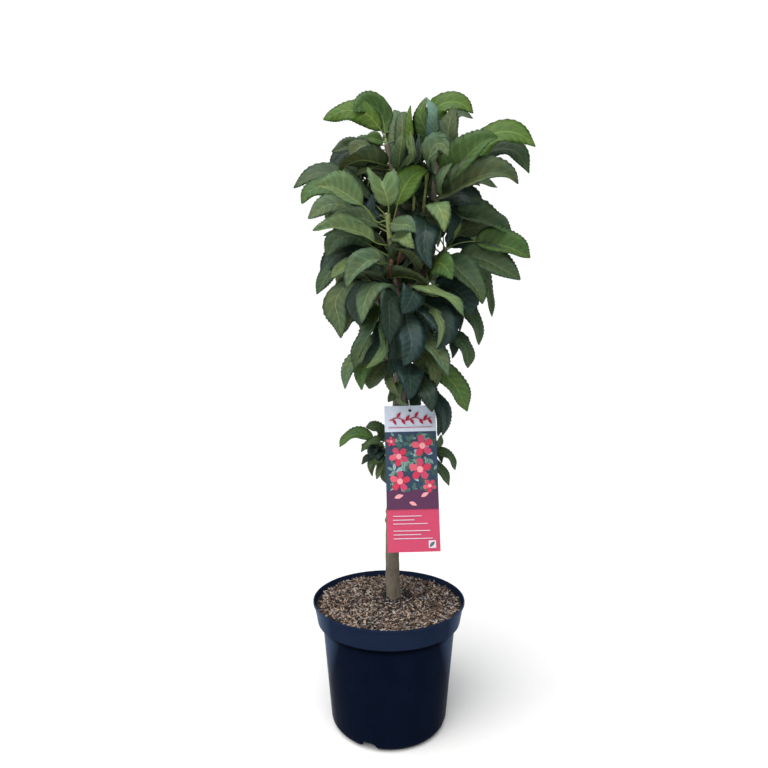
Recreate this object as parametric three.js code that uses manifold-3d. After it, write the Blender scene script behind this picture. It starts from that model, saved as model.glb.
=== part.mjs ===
// A young columnar apple tree in a nursery pot, with a hang tag on its lowest bough.
// Millimetres, +Z up. The origin is the middle of the pot's flat underside.
// One trunk runs up from the mulch to a fork; boughs and short spurs leave it and
// end in masses of foliage, which are cut round the wood that runs through them.
import * as THREE from 'three';
import { mergeVertices } from 'three/addons/utils/BufferGeometryUtils.js';
import Module from 'manifold-3d';

const wasm = await Module();
wasm.setup();

const { Vector3 } = THREE;
const MERGE_WITHIN = 1e-4; // corners closer than this are one
const SEAT = 0.3; // gap that touching pieces keep
const PARTING = 1.5; // gap between neighbouring masses of foliage

// ---- driving sizes of the pot -------------------------------------------------
const POT_HEIGHT = 205;
const RIM_RADIUS = 130; // outside, at the lip
const BAND_HEIGHT = 35; // the stepped band below the lip
const BAND_FOOT_RADIUS = 122;
const BODY_TOP_RADIUS = 113.5;
const BODY_FOOT_RADIUS = 97;
const CORNER_RADIUS = 14;
const CORNER_STEPS = 4; // facets round the foot, outside; one fewer inside
const WALL = 2;
const STEP_RISE = 2; // the band's underside slopes up by this much
const LIP_HEIGHT = 3; // upright part at the top of the band
const LIP_ROLL = { inward: 0.6, down: 4 }; // where the lip's inner slope ends
const POT_SIDES = 38;
const DRAIN = { width: 28, height: 12, inner: 80, outer: 110, first: -110, count: 4 };
const SOIL_BELOW_LIP = 10;
const SOIL_TOP = POT_HEIGHT - SOIL_BELOW_LIP;
const SOIL_SLACK = 1; // the soil's facets stay at least about this far inside the wall's
const STEP_HEIGHT = POT_HEIGHT - BAND_HEIGHT;

// ---- driving sizes of the wood: [x, y, z, radius] along each middle line -------
const TRUNK_FOOT = SOIL_TOP + SEAT;
const TRUNK = {
  sides: 12,
  line: [
    [10, 0, TRUNK_FOOT, 17], // root flare
    [9, 0, TRUNK_FOOT + 8, 13.6],
    [7, 0, 230, 12.2],
    [6, 0, 290, 11.8],
    [8, 1, 370, 11.6],
    [14, 1, 460, 11.4],
    [19, 0, 575, 11],
    [19, 0, 665, 10.4],
    [14, 0, 745, 9.6],
    [12, 0, 772, 9.2],
  ],
};

// Each bough starts on the middle line of the trunk, and bough_top_back on the leader's.
const BOUGHS = {
  leader: [[12, 0, 766, 8], [20, 1, 840, 7.4], [12, 1, 920, 6.6], [-4, 0, 988, 5.4]],
  bough_top_right: [[13, 0, 760, 7.4], [34, -4, 815, 7.2], [72, -14, 880, 7], [84, -8, 965, 5.6]],
  shoot_front: [[12, 0, 752, 7], [8, -26, 776, 6.4], [1, -58, 812, 5.4]],
  bough_right: [[16, 0, 722, 7], [54, -6, 762, 6.2], [96, -10, 802, 5]],
  bough_left: [[16, 0, 690, 6.4], [-14, -10, 712, 5.6], [-38, -16, 730, 4.8]],
  spur_front: [[19, 0, 668, 6], [24, -30, 690, 5.2], [28, -60, 706, 4.4]],
  bough_back_left: [[15, 0, 730, 6.6], [-6, 34, 758, 5.8], [-28, 62, 778, 4.8]],
  bough_back_right: [[17, 0, 700, 6.6], [44, 34, 732, 5.8], [66, 62, 752, 4.8]],
  bough_top_back: [[20, 1, 838, 5.8], [24, 32, 884, 5.2], [26, 64, 944, 4.4]],
  bough_low_right: [[19, 0, 556, 6], [44, -12, 568, 5.2], [74, -18, 600, 4.4]],
  spur_low_left: [[14, 1, 452, 4.6], [-6, 6, 458, 4], [-18, 8, 460, 3.4]],
  spur_low_right: [[14, 1, 446, 4.6], [40, 8, 454, 4], [66, 12, 458, 3.4]],
};
const BOUGH_SIDES = 7;
const BOUGH_STEPS = 5;

// ---- driving sizes of the foliage ----------------------------------------------
// middle and half sizes of the leafy core, and the points its furthest leaves reach;
// the first reach of a mass is the place on the wood that its leaves grow from
const MASSES = {
  foliage_top_left: {
    middle: [-44, -6, 1010], core: [48, 52, 44],
    reach: [[-4, 0, 978], [-117, -14, 1032], [-15, 0, 1081], [-62, -52, 1056], [-62, 46, 1058]],
  },
  foliage_top_middle: {
    middle: [22, -46, 984], core: [34, 34, 52], facets: 3,
    reach: [[-3, 0, 966], [8, -50, 1036], [44, -48, 1042], [24, -92, 990]],
  },
  foliage_top_right: {
    middle: [82, -6, 1016], core: [52, 54, 46],
    reach: [[84, -8, 962], [72, -6, 1080], [104, -4, 1081], [147, -6, 1044], [126, -6, 1072], [70, 52, 1060]],
  },
  foliage_top_back: {
    middle: [20, 100, 984], core: [66, 54, 50], facets: 3,
    reach: [[26, 58, 944], [20, 176, 1004], [-64, 132, 1006], [104, 140, 1012], [22, 96, 1048]],
  },
  foliage_upper_front: {
    middle: [-38, -84, 874], core: [64, 44, 48],
    reach: [[1, -58, 812], [-144, -62, 868], [-158, -44, 900], [-124, -90, 828], [-104, -70, 934],
      [2, -92, 936], [58, -110, 922], [-50, -152, 880]],
  },
  foliage_upper_right: {
    middle: [150, -18, 936], core: [66, 54, 48],
    reach: [[78, -14, 898], [255, -12, 982], [196, -18, 1020], [240, -34, 932], [217, 14, 906],
      [176, -100, 918], [130, -10, 1006]],
  },
  foliage_upper_left: {
    middle: [-76, 44, 932], core: [54, 54, 50], facets: 3,
    reach: [[10, 4, 902], [-132, 40, 990], [-158, 70, 912], [-96, 122, 920], [-112, 4, 956]],
  },
  foliage_upper_back: {
    middle: [96, 94, 906], core: [66, 58, 54], facets: 3,
    reach: [[22, 6, 868], [196, 106, 928], [130, 176, 892], [178, 150, 872], [64, 168, 930]],
  },
  foliage_mid_left: {
    middle: [-74, -26, 776], core: [54, 64, 62],
    reach: [[-34, -16, 728], [-128, -10, 730], [-136, 2, 806], [-112, -96, 748], [-86, -24, 656],
      [-62, -122, 780]],
  },
  foliage_mid_right: {
    middle: [160, -6, 816], core: [62, 62, 54],
    reach: [[94, -10, 802], [246, -8, 790], [238, -4, 836], [226, 24, 752], [184, -8, 886],
      [210, -12, 864], [166, -112, 776], [182, 100, 790]],
  },
  foliage_mid_front: {
    middle: [44, -104, 778], core: [58, 46, 70],
    reach: [[27, -56, 704], [18, -166, 676], [96, -150, 700], [84, -170, 800], [30, -184, 760]],
  },
  foliage_mid_back_left: {
    middle: [-52, 104, 790], core: [64, 60, 62], facets: 3,
    reach: [[-26, 60, 777], [-140, 126, 770], [-70, 188, 776], [-98, 150, 706], [-20, 168, 840]],
  },
  foliage_mid_back_right: {
    middle: [84, 112, 770], core: [68, 60, 60], facets: 3,
    reach: [[64, 60, 751], [182, 134, 748], [90, 196, 760], [138, 168, 694], [36, 184, 700]],
  },
  foliage_low_left: {
    middle: [-36, -24, 656], core: [46, 54, 58], facets: 3,
    reach: [[10, 0, 660], [-80, -22, 564], [-86, -10, 650], [-66, 42, 580], [-44, -88, 590],
      [-6, -30, 566]],
  },
  foliage_low_right: {
    middle: [108, -12, 664], core: [52, 56, 62],
    reach: [[72, -18, 602], [164, -14, 718], [182, -6, 692], [162, 10, 640], [139, -16, 600],
      [138, -26, 528], [112, -100, 640]],
  },
  foliage_low_front: {
    middle: [34, -74, 626], core: [46, 38, 48], facets: 3,
    reach: [[20, -8, 640], [28, -74, 552], [-18, -112, 596], [84, -100, 580], [34, -130, 610]],
  },
  foliage_low_back: {
    middle: [26, 78, 648], core: [64, 54, 66], facets: 3,
    reach: [[20, 8, 640], [22, 150, 588], [-56, 112, 590], [104, 112, 596], [30, 154, 670]],
  },
  foliage_tag_side: {
    middle: [82, 4, 544], core: [26, 26, 30], facets: 3,
    reach: [[72, -14, 588], [46, 8, 560], [104, -6, 492], [84, 34, 500]],
  },
  foliage_whorl_left: {
    middle: [-38, 12, 462], core: [28, 34, 30], facets: 3,
    reach: [[-16, 8, 460], [-88, 8, 466], [-72, 8, 494], [-66, -14, 438], [-22, 10, 406],
      [-44, 60, 440], [-22, 10, 504]],
  },
  foliage_whorl_right: {
    middle: [92, 16, 450], core: [24, 32, 30], facets: 3,
    reach: [[64, 12, 458], [122, 8, 422], [106, 14, 396], [104, 58, 444], [92, 10, 500]],
  },
  foliage_whorl_back: {
    middle: [22, 54, 456], core: [36, 32, 30], facets: 3,
    reach: [[14, 8, 456], [20, 100, 430], [-8, 88, 478], [56, 88, 444]],
  },
};
const LOBE_ANGLE = 0.5; // radians from a leaf tip's direction to the side of its lobe
const LOBE_TAPER = 0.4; // how much shorter a lobe is at its side, as a share
const UNEVEN = 0.035; // how much the leafy cores swell and sink
const SWELL_WAVES = [5, 6, 5]; // swells over a core along x, y and z
const SWELL_SHIFTS = [1, -2, 3]; // how far the next mass's swells are shifted
const MASS_FACETS = 4; // facets along each edge of the ball that a mass is shaped from

// ---- driving sizes of the tag and its tie ---------------------------------------
const TAG = {
  width: 86.5, height: 240, thickness: 1,
  hole: { radius: 2.8, below_top: 8 },
  top: [35.2, -20, 536.5], // middle of the upper edge
  swing: -8.4, // degrees that its foot stands forward
  turn: 1.4, // degrees that its foot stands to the right
};
const TIE = {
  radius: 0.7, sides: 5, steps: 26,
  carrier: 'bough_low_right', along: 0.27, // the bough it hangs on, and where
  bend: 8, // radius of the loop over the bough
  play: 0.8, // gap above the thread where it passes through the hole
};

// ---- helpers ---------------------------------------------------------------------
const toVector = ([x, y, z]) => new Vector3(x, y, z);

// a closed mesh with shared corners becomes a solid
function solidOf(geometry) {
  const bare = geometry.clone();
  bare.deleteAttribute('normal');
  bare.deleteAttribute('uv');
  const merged = mergeVertices(bare, MERGE_WITHIN);
  return new wasm.Manifold(new wasm.Mesh({
    numProp: 3,
    vertProperties: Float32Array.from(merged.attributes.position.array),
    triVerts: Uint32Array.from(merged.index.array),
  }));
}

function geometryOf(solid) {
  const { vertProperties, triVerts } = solid.getMesh();
  const geometry = new THREE.BufferGeometry();
  geometry.setAttribute('position', new THREE.BufferAttribute(vertProperties, 3));
  geometry.setIndex(new THREE.BufferAttribute(triVerts, 1));
  geometry.computeVertexNormals();
  return geometry;
}

// the largest piece that a cut leaves
function mainPiece(solid) {
  return solid.decompose().sort((a, b) => b.volume() - a.volume())[0];
}

// a closed skin over rings of corners, each ring a list of Vector3
function skin(rings, closed = false) {
  const sides = rings[0].length;
  const corners = rings.flat();
  const faces = [];
  const last = closed ? rings.length : rings.length - 1;
  for (let i = 0; i < last; i++) {
    for (let j = 0; j < sides; j++) {
      const next = ((i + 1) % rings.length) * sides;
      const [a, b] = [i * sides + j, i * sides + ((j + 1) % sides)];
      const [c, d] = [next + j, next + ((j + 1) % sides)];
      faces.push(a, b, d, a, d, c);
    }
  }
  if (!closed) {
    for (let j = 1; j < sides - 1; j++) {
      const top = (rings.length - 1) * sides;
      faces.push(0, j + 1, j);
      faces.push(top, top + j, top + j + 1);
    }
  }
  const geometry = new THREE.BufferGeometry().setFromPoints(corners);
  geometry.setIndex(faces);
  return geometry;
}

const middleLine = (line) => new THREE.CatmullRomCurve3(line.map(toVector), false, 'centripetal');

// round limb along [x, y, z, radius] points; grow makes it thicker all over
function limb(line, sides, steps, grow = 0) {
  const curve = middleLine(line);
  const radii = line.map((point) => point[3]);
  const rings = [];
  for (let i = 0; i <= steps; i++) {
    const t = i / steps;
    const place = t * (line.length - 1);
    const k = Math.min(Math.floor(place), line.length - 2);
    const radius = THREE.MathUtils.lerp(radii[k], radii[k + 1], place - k) + grow;
    const ahead = curve.getTangent(t);
    const middle = curve.getPoint(t);
    if (i === 0) middle.addScaledVector(ahead, -grow);
    if (i === steps) middle.addScaledVector(ahead, grow);
    rings.push(ringAt(middle, ahead, radius, sides));
  }
  return skin(rings);
}

// a ring of corners square to a direction; it turns from Y, or from X where that runs along Y
function ringAt(middle, ahead, radius, sides) {
  const nearlyNone = 0.02;
  const side = new Vector3(0, 1, 0).cross(ahead);
  if (side.lengthSq() < nearlyNone) side.set(1, 0, 0).cross(ahead);
  side.normalize();
  const up = ahead.clone().normalize().cross(side);
  return Array.from({ length: sides }, (_, j) => {
    const turn = (2 * Math.PI * j) / sides;
    return middle.clone()
      .addScaledVector(side, radius * Math.cos(turn))
      .addScaledVector(up, radius * Math.sin(turn));
  });
}

// the trunk's rings lie flat, so that its foot is a level cut on the mulch
function trunkSkin(grow = 0) {
  const rings = TRUNK.line.map(([x, y, z, radius], i) => {
    const end = i === 0 ? -grow : i === TRUNK.line.length - 1 ? grow : 0;
    return Array.from({ length: TRUNK.sides }, (_, j) => {
      const turn = (2 * Math.PI * j) / TRUNK.sides;
      const r = radius + grow;
      return new Vector3(x + r * Math.cos(turn), y + r * Math.sin(turn), z + end);
    });
  });
  return skin(rings);
}

// uneven closed mass: an egg-shaped core with a lobe out to each reach point
function massSkin({ middle, core, reach, facets = MASS_FACETS }, index, grow = 0) {
  const ball = new THREE.IcosahedronGeometry(1, facets - 1);
  ball.deleteAttribute('normal');
  ball.deleteAttribute('uv');
  const geometry = mergeVertices(ball, MERGE_WITHIN);
  const place = geometry.attributes.position;
  const centre = toVector(middle);
  const lobes = reach.map((point) => {
    const out = toVector(point).sub(centre);
    return { length: out.length(), towards: out.normalize() };
  });
  const swellAt = (d) => d.toArray().reduce(
    (sum, part, axis) => sum + Math.sin(SWELL_WAVES[axis] * part + SWELL_SHIFTS[axis] * index), 0);
  const directions = [];
  const radii = [];
  for (let i = 0; i < place.count; i++) {
    const d = new Vector3().fromBufferAttribute(place, i).normalize();
    const egg = 1 / Math.hypot(d.x / core[0], d.y / core[1], d.z / core[2]);
    let radius = egg * (1 + UNEVEN * swellAt(d));
    for (const { length, towards } of lobes) {
      const off = d.angleTo(towards) / LOBE_ANGLE;
      if (off < 1) radius = Math.max(radius, length * (1 - LOBE_TAPER * off * off));
    }
    directions.push(d);
    radii.push(radius);
  }
  for (const { length, towards } of lobes) {
    const nearest = directions.reduce(
      (best, d, i) => (d.dot(towards) > directions[best].dot(towards) ? i : best), 0);
    directions[nearest].copy(towards);
    radii[nearest] = length;
  }
  directions.forEach((d, i) => {
    const point = centre.clone().addScaledVector(d, radii[i] + grow);
    place.setXYZ(i, point.x, point.y, point.z);
  });
  return geometry;
}

// ---- finishes ----------------------------------------------------------------------
const finish = (color, roughness) => new THREE.MeshStandardMaterial({ color, roughness, metalness: 0 });
const FINISH = {
  pot: finish(0x10182a, 0.35),
  soil: finish(0x6b5138, 0.95),
  bark: finish(0x77694f, 0.85),
  leaf: finish(0x47702f, 0.6),
  tag: finish(0xd5476c, 0.4),
  tie: finish(0xd8d8d0, 0.7),
};

const plant = new THREE.Group();
plant.name = 'columnar_apple_tree';

function addNode(name, geometry, material) {
  const mesh = new THREE.Mesh(geometry, material);
  mesh.name = name;
  plant.add(mesh);
}

// ---- pot ------------------------------------------------------------------------------
// wall profile from the middle of the underside, up the outside, over the lip and back down
function potProfile() {
  const points = [[0, 0]];
  const cornerMiddle = BODY_FOOT_RADIUS - CORNER_RADIUS;
  const bend = (radius, steps, outward) => {
    for (let i = 0; i <= steps; i++) {
      const angle = (Math.PI / 2) * (outward ? i / steps : 1 - i / steps);
      points.push([
        cornerMiddle + radius * Math.sin(angle),
        CORNER_RADIUS - radius * Math.cos(angle),
      ]);
    }
  };
  bend(CORNER_RADIUS, CORNER_STEPS, true);
  points.push([BODY_TOP_RADIUS, STEP_HEIGHT - STEP_RISE], [BAND_FOOT_RADIUS, STEP_HEIGHT]);
  points.push([RIM_RADIUS, POT_HEIGHT - LIP_HEIGHT], [RIM_RADIUS, POT_HEIGHT]);
  points.push([RIM_RADIUS - WALL, POT_HEIGHT]);
  points.push([RIM_RADIUS - WALL - LIP_ROLL.inward, POT_HEIGHT - LIP_ROLL.down]);
  points.push([BAND_FOOT_RADIUS - WALL, STEP_HEIGHT + WALL]);
  points.push([BODY_TOP_RADIUS - WALL, STEP_HEIGHT - STEP_RISE + WALL]);
  bend(CORNER_RADIUS - WALL, CORNER_STEPS - 1, false);
  points.push([0, WALL]);
  return points.map(([r, z]) => new THREE.Vector2(r, z));
}

// LatheGeometry turns about Y, so the turned shape is stood up on Z
function turned(profile, sides) {
  return new THREE.LatheGeometry(profile, sides).rotateX(Math.PI / 2);
}

function pot() {
  let solid = solidOf(turned(potProfile(), POT_SIDES));
  const { width, height, inner, outer, first, count } = DRAIN;
  for (let i = 0; i < count; i++) {
    const notch = new THREE.BoxGeometry(outer - inner, width, 2 * height);
    notch.translate((inner + outer) / 2, 0, 0);
    notch.rotateZ(THREE.MathUtils.degToRad(first + (360 / count) * i));
    solid = solid.subtract(solidOf(notch));
  }
  return geometryOf(solid);
}

// ---- mulch-topped soil: fills the pot up to a little below the lip ------------------------
function soil() {
  const inset = WALL + SEAT;
  const bandSlope = (RIM_RADIUS - BAND_FOOT_RADIUS) / (BAND_HEIGHT - LIP_HEIGHT);
  const topRadius = BAND_FOOT_RADIUS + bandSlope * (SOIL_TOP - STEP_HEIGHT) - inset - SOIL_SLACK;
  const profile = [
    [0, inset],
    [BODY_FOOT_RADIUS - CORNER_RADIUS - SOIL_SLACK, inset],
    [BODY_FOOT_RADIUS - inset - 5 * SOIL_SLACK, CORNER_RADIUS - 4 * SOIL_SLACK],
    [BODY_FOOT_RADIUS - inset - SOIL_SLACK / 2, CORNER_RADIUS + 3 * SOIL_SLACK],
    [BODY_TOP_RADIUS - inset - SOIL_SLACK / 5, STEP_HEIGHT - STEP_RISE + inset],
    [BAND_FOOT_RADIUS - inset - SOIL_SLACK, STEP_HEIGHT + inset + SEAT],
    [topRadius, SOIL_TOP],
    [0, SOIL_TOP],
  ];
  return turned(profile.map(([r, z]) => new THREE.Vector2(r, z)), POT_SIDES);
}

// ---- tag and tie ----------------------------------------------------------------------------
function tagPlace(geometry) {
  geometry.rotateX(THREE.MathUtils.degToRad(TAG.swing));
  geometry.rotateY(THREE.MathUtils.degToRad(-TAG.turn));
  return geometry.translate(...TAG.top);
}

function tag() {
  const { width, height, thickness, hole } = TAG;
  const outline = new THREE.Shape([[-1, 0], [1, 0], [1, -1], [-1, -1]].map(
    ([across, down]) => new THREE.Vector2((across * width) / 2, down * height)));
  outline.holes.push(new THREE.Path().absarc(0, -hole.below_top, hole.radius, 0, 2 * Math.PI, false));
  const card = new THREE.ExtrudeGeometry(outline, { depth: thickness, bevelEnabled: false, curveSegments: 6 });
  card.rotateX(Math.PI / 2).translate(0, thickness / 2, 0);
  return tagPlace(card);
}

// a slack loop of thread over the lowest bough and through the tag's hole
function tie() {
  const { radius, sides, steps, carrier, along, bend, play } = TIE;
  const hole = tagPlace(new THREE.BufferGeometry().setFromPoints([new Vector3(0, 0, -TAG.hole.below_top)]));
  const through = new Vector3().fromBufferAttribute(hole.attributes.position, 0);
  through.z += TAG.hole.radius - radius - SEAT - play;
  const top = middleLine(BOUGHS[carrier]).getPoint(along);
  const route = [through];
  const drop = (share, side) => through.clone().lerp(top, share)
    .add(new Vector3(0, side * bend * Math.min(1, 0.45 + share), 0));
  route.push(drop(0.25, -1), drop(0.65, -1));
  for (const turn of [180, 135, 90, 45, 0]) {
    const angle = THREE.MathUtils.degToRad(turn);
    route.push(top.clone().add(new Vector3(0, bend * Math.cos(angle), bend * Math.sin(angle))));
  }
  route.push(drop(0.65, 1), drop(0.25, 1));
  const loop = new THREE.CatmullRomCurve3(route, true, 'centripetal');
  const rings = [];
  for (let i = 0; i < steps; i++) {
    const ahead = loop.getTangentAt(i / steps);
    const side = new Vector3(1, 0, 0);
    const up = ahead.clone().cross(side).normalize();
    const across = up.clone().cross(ahead).normalize();
    const middle = loop.getPointAt(i / steps);
    rings.push(Array.from({ length: sides }, (_, j) => {
      const turn = (2 * Math.PI * j) / sides;
      return middle.clone()
        .addScaledVector(across, radius * Math.cos(turn))
        .addScaledVector(up, radius * Math.sin(turn));
    }));
  }
  return skin(rings, true);
}

// ---- the plant ----------------------------------------------------------------------------------
addNode('pot', pot(), FINISH.pot);
addNode('soil', soil(), FINISH.soil);
addNode('trunk', trunkSkin(), FINISH.bark);

const wood = { trunk: solidOf(trunkSkin(SEAT)) };
for (const [name, line] of Object.entries(BOUGHS)) {
  let bough = solidOf(limb(line, BOUGH_SIDES, BOUGH_STEPS));
  for (const carrier of Object.values(wood)) bough = bough.subtract(carrier);
  addNode(name, geometryOf(mainPiece(bough)), FINISH.bark);
  wood[name] = solidOf(limb(line, BOUGH_SIDES, BOUGH_STEPS, SEAT));
}

const taken = Object.values(wood);
taken.push(solidOf(tie()));
Object.entries(MASSES).forEach(([name, mass], index) => {
  let foliage = solidOf(massSkin(mass, index));
  for (const other of taken) foliage = foliage.subtract(other);
  addNode(name, geometryOf(mainPiece(foliage)), FINISH.leaf);
  taken.push(solidOf(massSkin(mass, index, PARTING)));
});

addNode('tag', tag(), FINISH.tag);
addNode('tag_tie', tie(), FINISH.tie);

export default plant;
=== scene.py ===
# %% [markdown]
# # A young columnar apple tree in a nursery pot
#
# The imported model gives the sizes: a stepped plastic pot, a bed of bark mulch, one
# trunk with its boughs, and a plain closed solid for each mass of foliage. This
# lesson keeps those places and makes what shows: bark with relief, twigs, single
# leaves with a folded blade, loose mulch, moulded plastic and a printed card tag.
# Everything is in metres, +Z up, with the pot's foot on the floor; only the tables of
# leading leaves are in millimetres.

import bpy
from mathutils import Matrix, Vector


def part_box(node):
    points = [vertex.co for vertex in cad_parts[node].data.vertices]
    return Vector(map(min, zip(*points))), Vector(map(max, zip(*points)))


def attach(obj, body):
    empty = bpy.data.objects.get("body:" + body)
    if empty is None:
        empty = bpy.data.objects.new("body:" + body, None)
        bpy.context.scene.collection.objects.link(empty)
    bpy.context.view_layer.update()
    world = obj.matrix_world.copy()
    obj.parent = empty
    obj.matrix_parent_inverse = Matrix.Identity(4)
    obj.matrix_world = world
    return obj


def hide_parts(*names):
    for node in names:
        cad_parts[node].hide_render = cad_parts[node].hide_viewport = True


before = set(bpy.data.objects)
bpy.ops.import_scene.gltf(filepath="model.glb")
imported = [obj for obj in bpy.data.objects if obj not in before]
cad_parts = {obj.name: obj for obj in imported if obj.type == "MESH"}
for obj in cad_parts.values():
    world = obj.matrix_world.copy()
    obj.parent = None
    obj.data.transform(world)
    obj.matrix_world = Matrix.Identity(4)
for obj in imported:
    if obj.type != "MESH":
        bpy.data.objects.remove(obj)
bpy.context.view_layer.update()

import math
import random
from typing import NamedTuple

import bmesh
import bpy
import numpy as np
from mathutils import Matrix, Vector, noise

# %% [markdown]
# ## Camera, floor and light
#
# A plant in a catalogue stands on white and is lit like a plant outdoors under thin
# cloud. One strong lamp would give hard shadows, and a lit world alone would give
# none, so a broad soft sun stands high in front and a little to the left: leaves
# are bright above and dark below. Weak panels overhead and at the sides add the
# sheen on the leaves. The floor is a pale disc that reaches far past the view, and
# the camera itself sees a white world, so the two meet without an edge. The camera
# is level with the middle of the plant and about 0.9 m in front of it.

# %% New objects and the camera
def put_in_scene(name, data):
    """A new object that shows that data."""
    made = bpy.data.objects.new(name, data)
    bpy.context.scene.collection.objects.link(made)
    return made


CAMERA_PLACE = Vector((-0.0084, -0.9195, 0.5733))
SENSOR_WIDTH = 36.0  # millimetres
FOCAL_SHARE = 529.9 / 768  # focal length as a share of the sensor's width
NEAREST_SEEN = 0.05

camera_data = bpy.data.cameras.new("camera")
camera_data.sensor_width = SENSOR_WIDTH
camera_data.lens = SENSOR_WIDTH * FOCAL_SHARE
camera_data.clip_start = NEAREST_SEEN
camera = put_in_scene("camera", camera_data)
camera.location = CAMERA_PLACE
camera.rotation_euler = (math.radians(90), 0, 0)
bpy.context.scene.camera = camera
print("camera lens", round(camera_data.lens, 2), "mm")


def along_sight(across, up, depth):
    """The point at that depth (y) which the camera sees over (across, 0, up)."""
    stretch = (depth - CAMERA_PLACE.y) / -CAMERA_PLACE.y
    x = CAMERA_PLACE.x + (across - CAMERA_PLACE.x) * stretch
    z = CAMERA_PLACE.z + (up - CAMERA_PLACE.z) * stretch
    return Vector((x, depth, z))


# %% Lights
DAYLIGHT = (1.0, 0.99, 0.97)
SKYLIGHT = (0.90, 0.95, 1.0)
CROWN_MIDDLE = Vector((0.03, 0.0, 0.8))
PANEL_SIZE = 1.4
PANELS = {  # place, power in watts and colour
    "overhead": (Vector((-0.25, -0.45, 2.7)), 8, DAYLIGHT),
    "left_side": (Vector((-2.4, 0.5, 0.8)), 12, SKYLIGHT),
    "right_side": (Vector((2.4, 0.5, 0.8)), 9, SKYLIGHT),
}
SUN_STRENGTH = 3.5
SUN_SPREAD = math.radians(70)
SUN_WAY = Vector((0.28, 0.60, -1.0))  # where its light travels


def add_light(name, kind, power, colour, towards):
    """A light at the origin that shines towards a direction."""
    data = bpy.data.lights.new(name, kind)
    data.energy = power
    data.color = colour
    light = put_in_scene(name, data)
    light.rotation_euler = towards.to_track_quat("-Z", "Y").to_euler()
    return light


for name, (place, power, colour) in PANELS.items():
    panel = add_light(name, "AREA", power, colour, CROWN_MIDDLE - place)
    panel.location = place
    panel.data.shape = "SQUARE"
    panel.data.size = PANEL_SIZE
sun = add_light("sun", "SUN", SUN_STRENGTH, DAYLIGHT, SUN_WAY)
sun.data.angle = SUN_SPREAD
print("lights:", len(PANELS), "panels and a sun")

# %% World
SKY_STRENGTH = 0.20  # what lights the plant
BACKDROP_STRENGTH = 1.05  # what the camera sees behind it

world = bpy.data.worlds.new("pale_studio")
bpy.context.scene.world = world
world.use_nodes = True
world_nodes, world_links = world.node_tree.nodes, world.node_tree.links
sky = world_nodes["Background"]
sky.inputs["Color"].default_value = (0.93, 0.96, 1.0, 1)
sky.inputs["Strength"].default_value = SKY_STRENGTH
backdrop = world_nodes.new("ShaderNodeBackground")
backdrop.inputs["Color"].default_value = (1, 1, 1, 1)
backdrop.inputs["Strength"].default_value = BACKDROP_STRENGTH
seen_first = world_nodes.new("ShaderNodeLightPath")
either = world_nodes.new("ShaderNodeMixShader")
world_links.new(seen_first.outputs["Is Camera Ray"], either.inputs[0])
world_links.new(sky.outputs[0], either.inputs[1])
world_links.new(backdrop.outputs[0], either.inputs[2])
world_links.new(either.outputs[0], world_nodes["World Output"].inputs["Surface"])
bpy.context.scene.view_settings.view_transform = "Standard"
print("world strength:", SKY_STRENGTH, "on the plant,", BACKDROP_STRENGTH, "behind it")

# %% [markdown]
# ## Shader maths as expressions
#
# Plastic, bark, leaves and print have no pictures on them here: every finish is a
# node tree that works its pattern out from a place on the surface. Wiring Math nodes
# by hand hides the formula, so a small class stands for one number that changes over
# the surface: adding or multiplying two of them adds the Math node. Colours go
# through one mixing method, and every node comes from `add_node`, which takes its
# settings before its inputs.

# %% A new node, in a shader or in Geometry Nodes
def add_node(tree, kind, settings=None, inputs=None):
    """A new node; an input is linked to each socket that its value names, or set to it."""
    made = tree.nodes.new(kind)
    for key, value in (settings or {}).items():
        setattr(made, key, value)
    for key, value in (inputs or {}).items():
        for one in value if isinstance(value, list) else [value]:
            one = one.socket if isinstance(one, Term) else one
            if isinstance(one, bpy.types.NodeSocket):
                tree.links.new(one, made.inputs[key])
            else:
                made.inputs[key].default_value = one
    return made


# %% A number on a surface
class Term:
    """One number of a shader tree that can be used in arithmetic."""

    def __init__(self, finish, socket):
        self.finish = finish
        self.socket = socket

    def _math(self, operation, first, second, clamp=False):
        made = self.finish.node(
            "ShaderNodeMath", {"operation": operation, "use_clamp": clamp}, {0: first, 1: second})
        return Term(self.finish, made.outputs[0])

    def __add__(self, other):
        return self._math("ADD", self, other)

    __radd__ = __add__

    def __sub__(self, other):
        return self._math("SUBTRACT", self, other)

    def __mul__(self, other):
        return self._math("MULTIPLY", self, other)

    __rmul__ = __mul__

    def __truediv__(self, other):
        return self._math("DIVIDE", self, other)

    def frac(self):
        return self._math("FRACT", self, 0)

    def size(self):
        return self._math("ABSOLUTE", self, 0)

    def clear_of(self, start, end):
        """0 up to start, 1 from end, even between them; start may be the larger."""
        share = (self - start) / (end - start)
        return self._math("ADD", share, 0, True)


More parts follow.
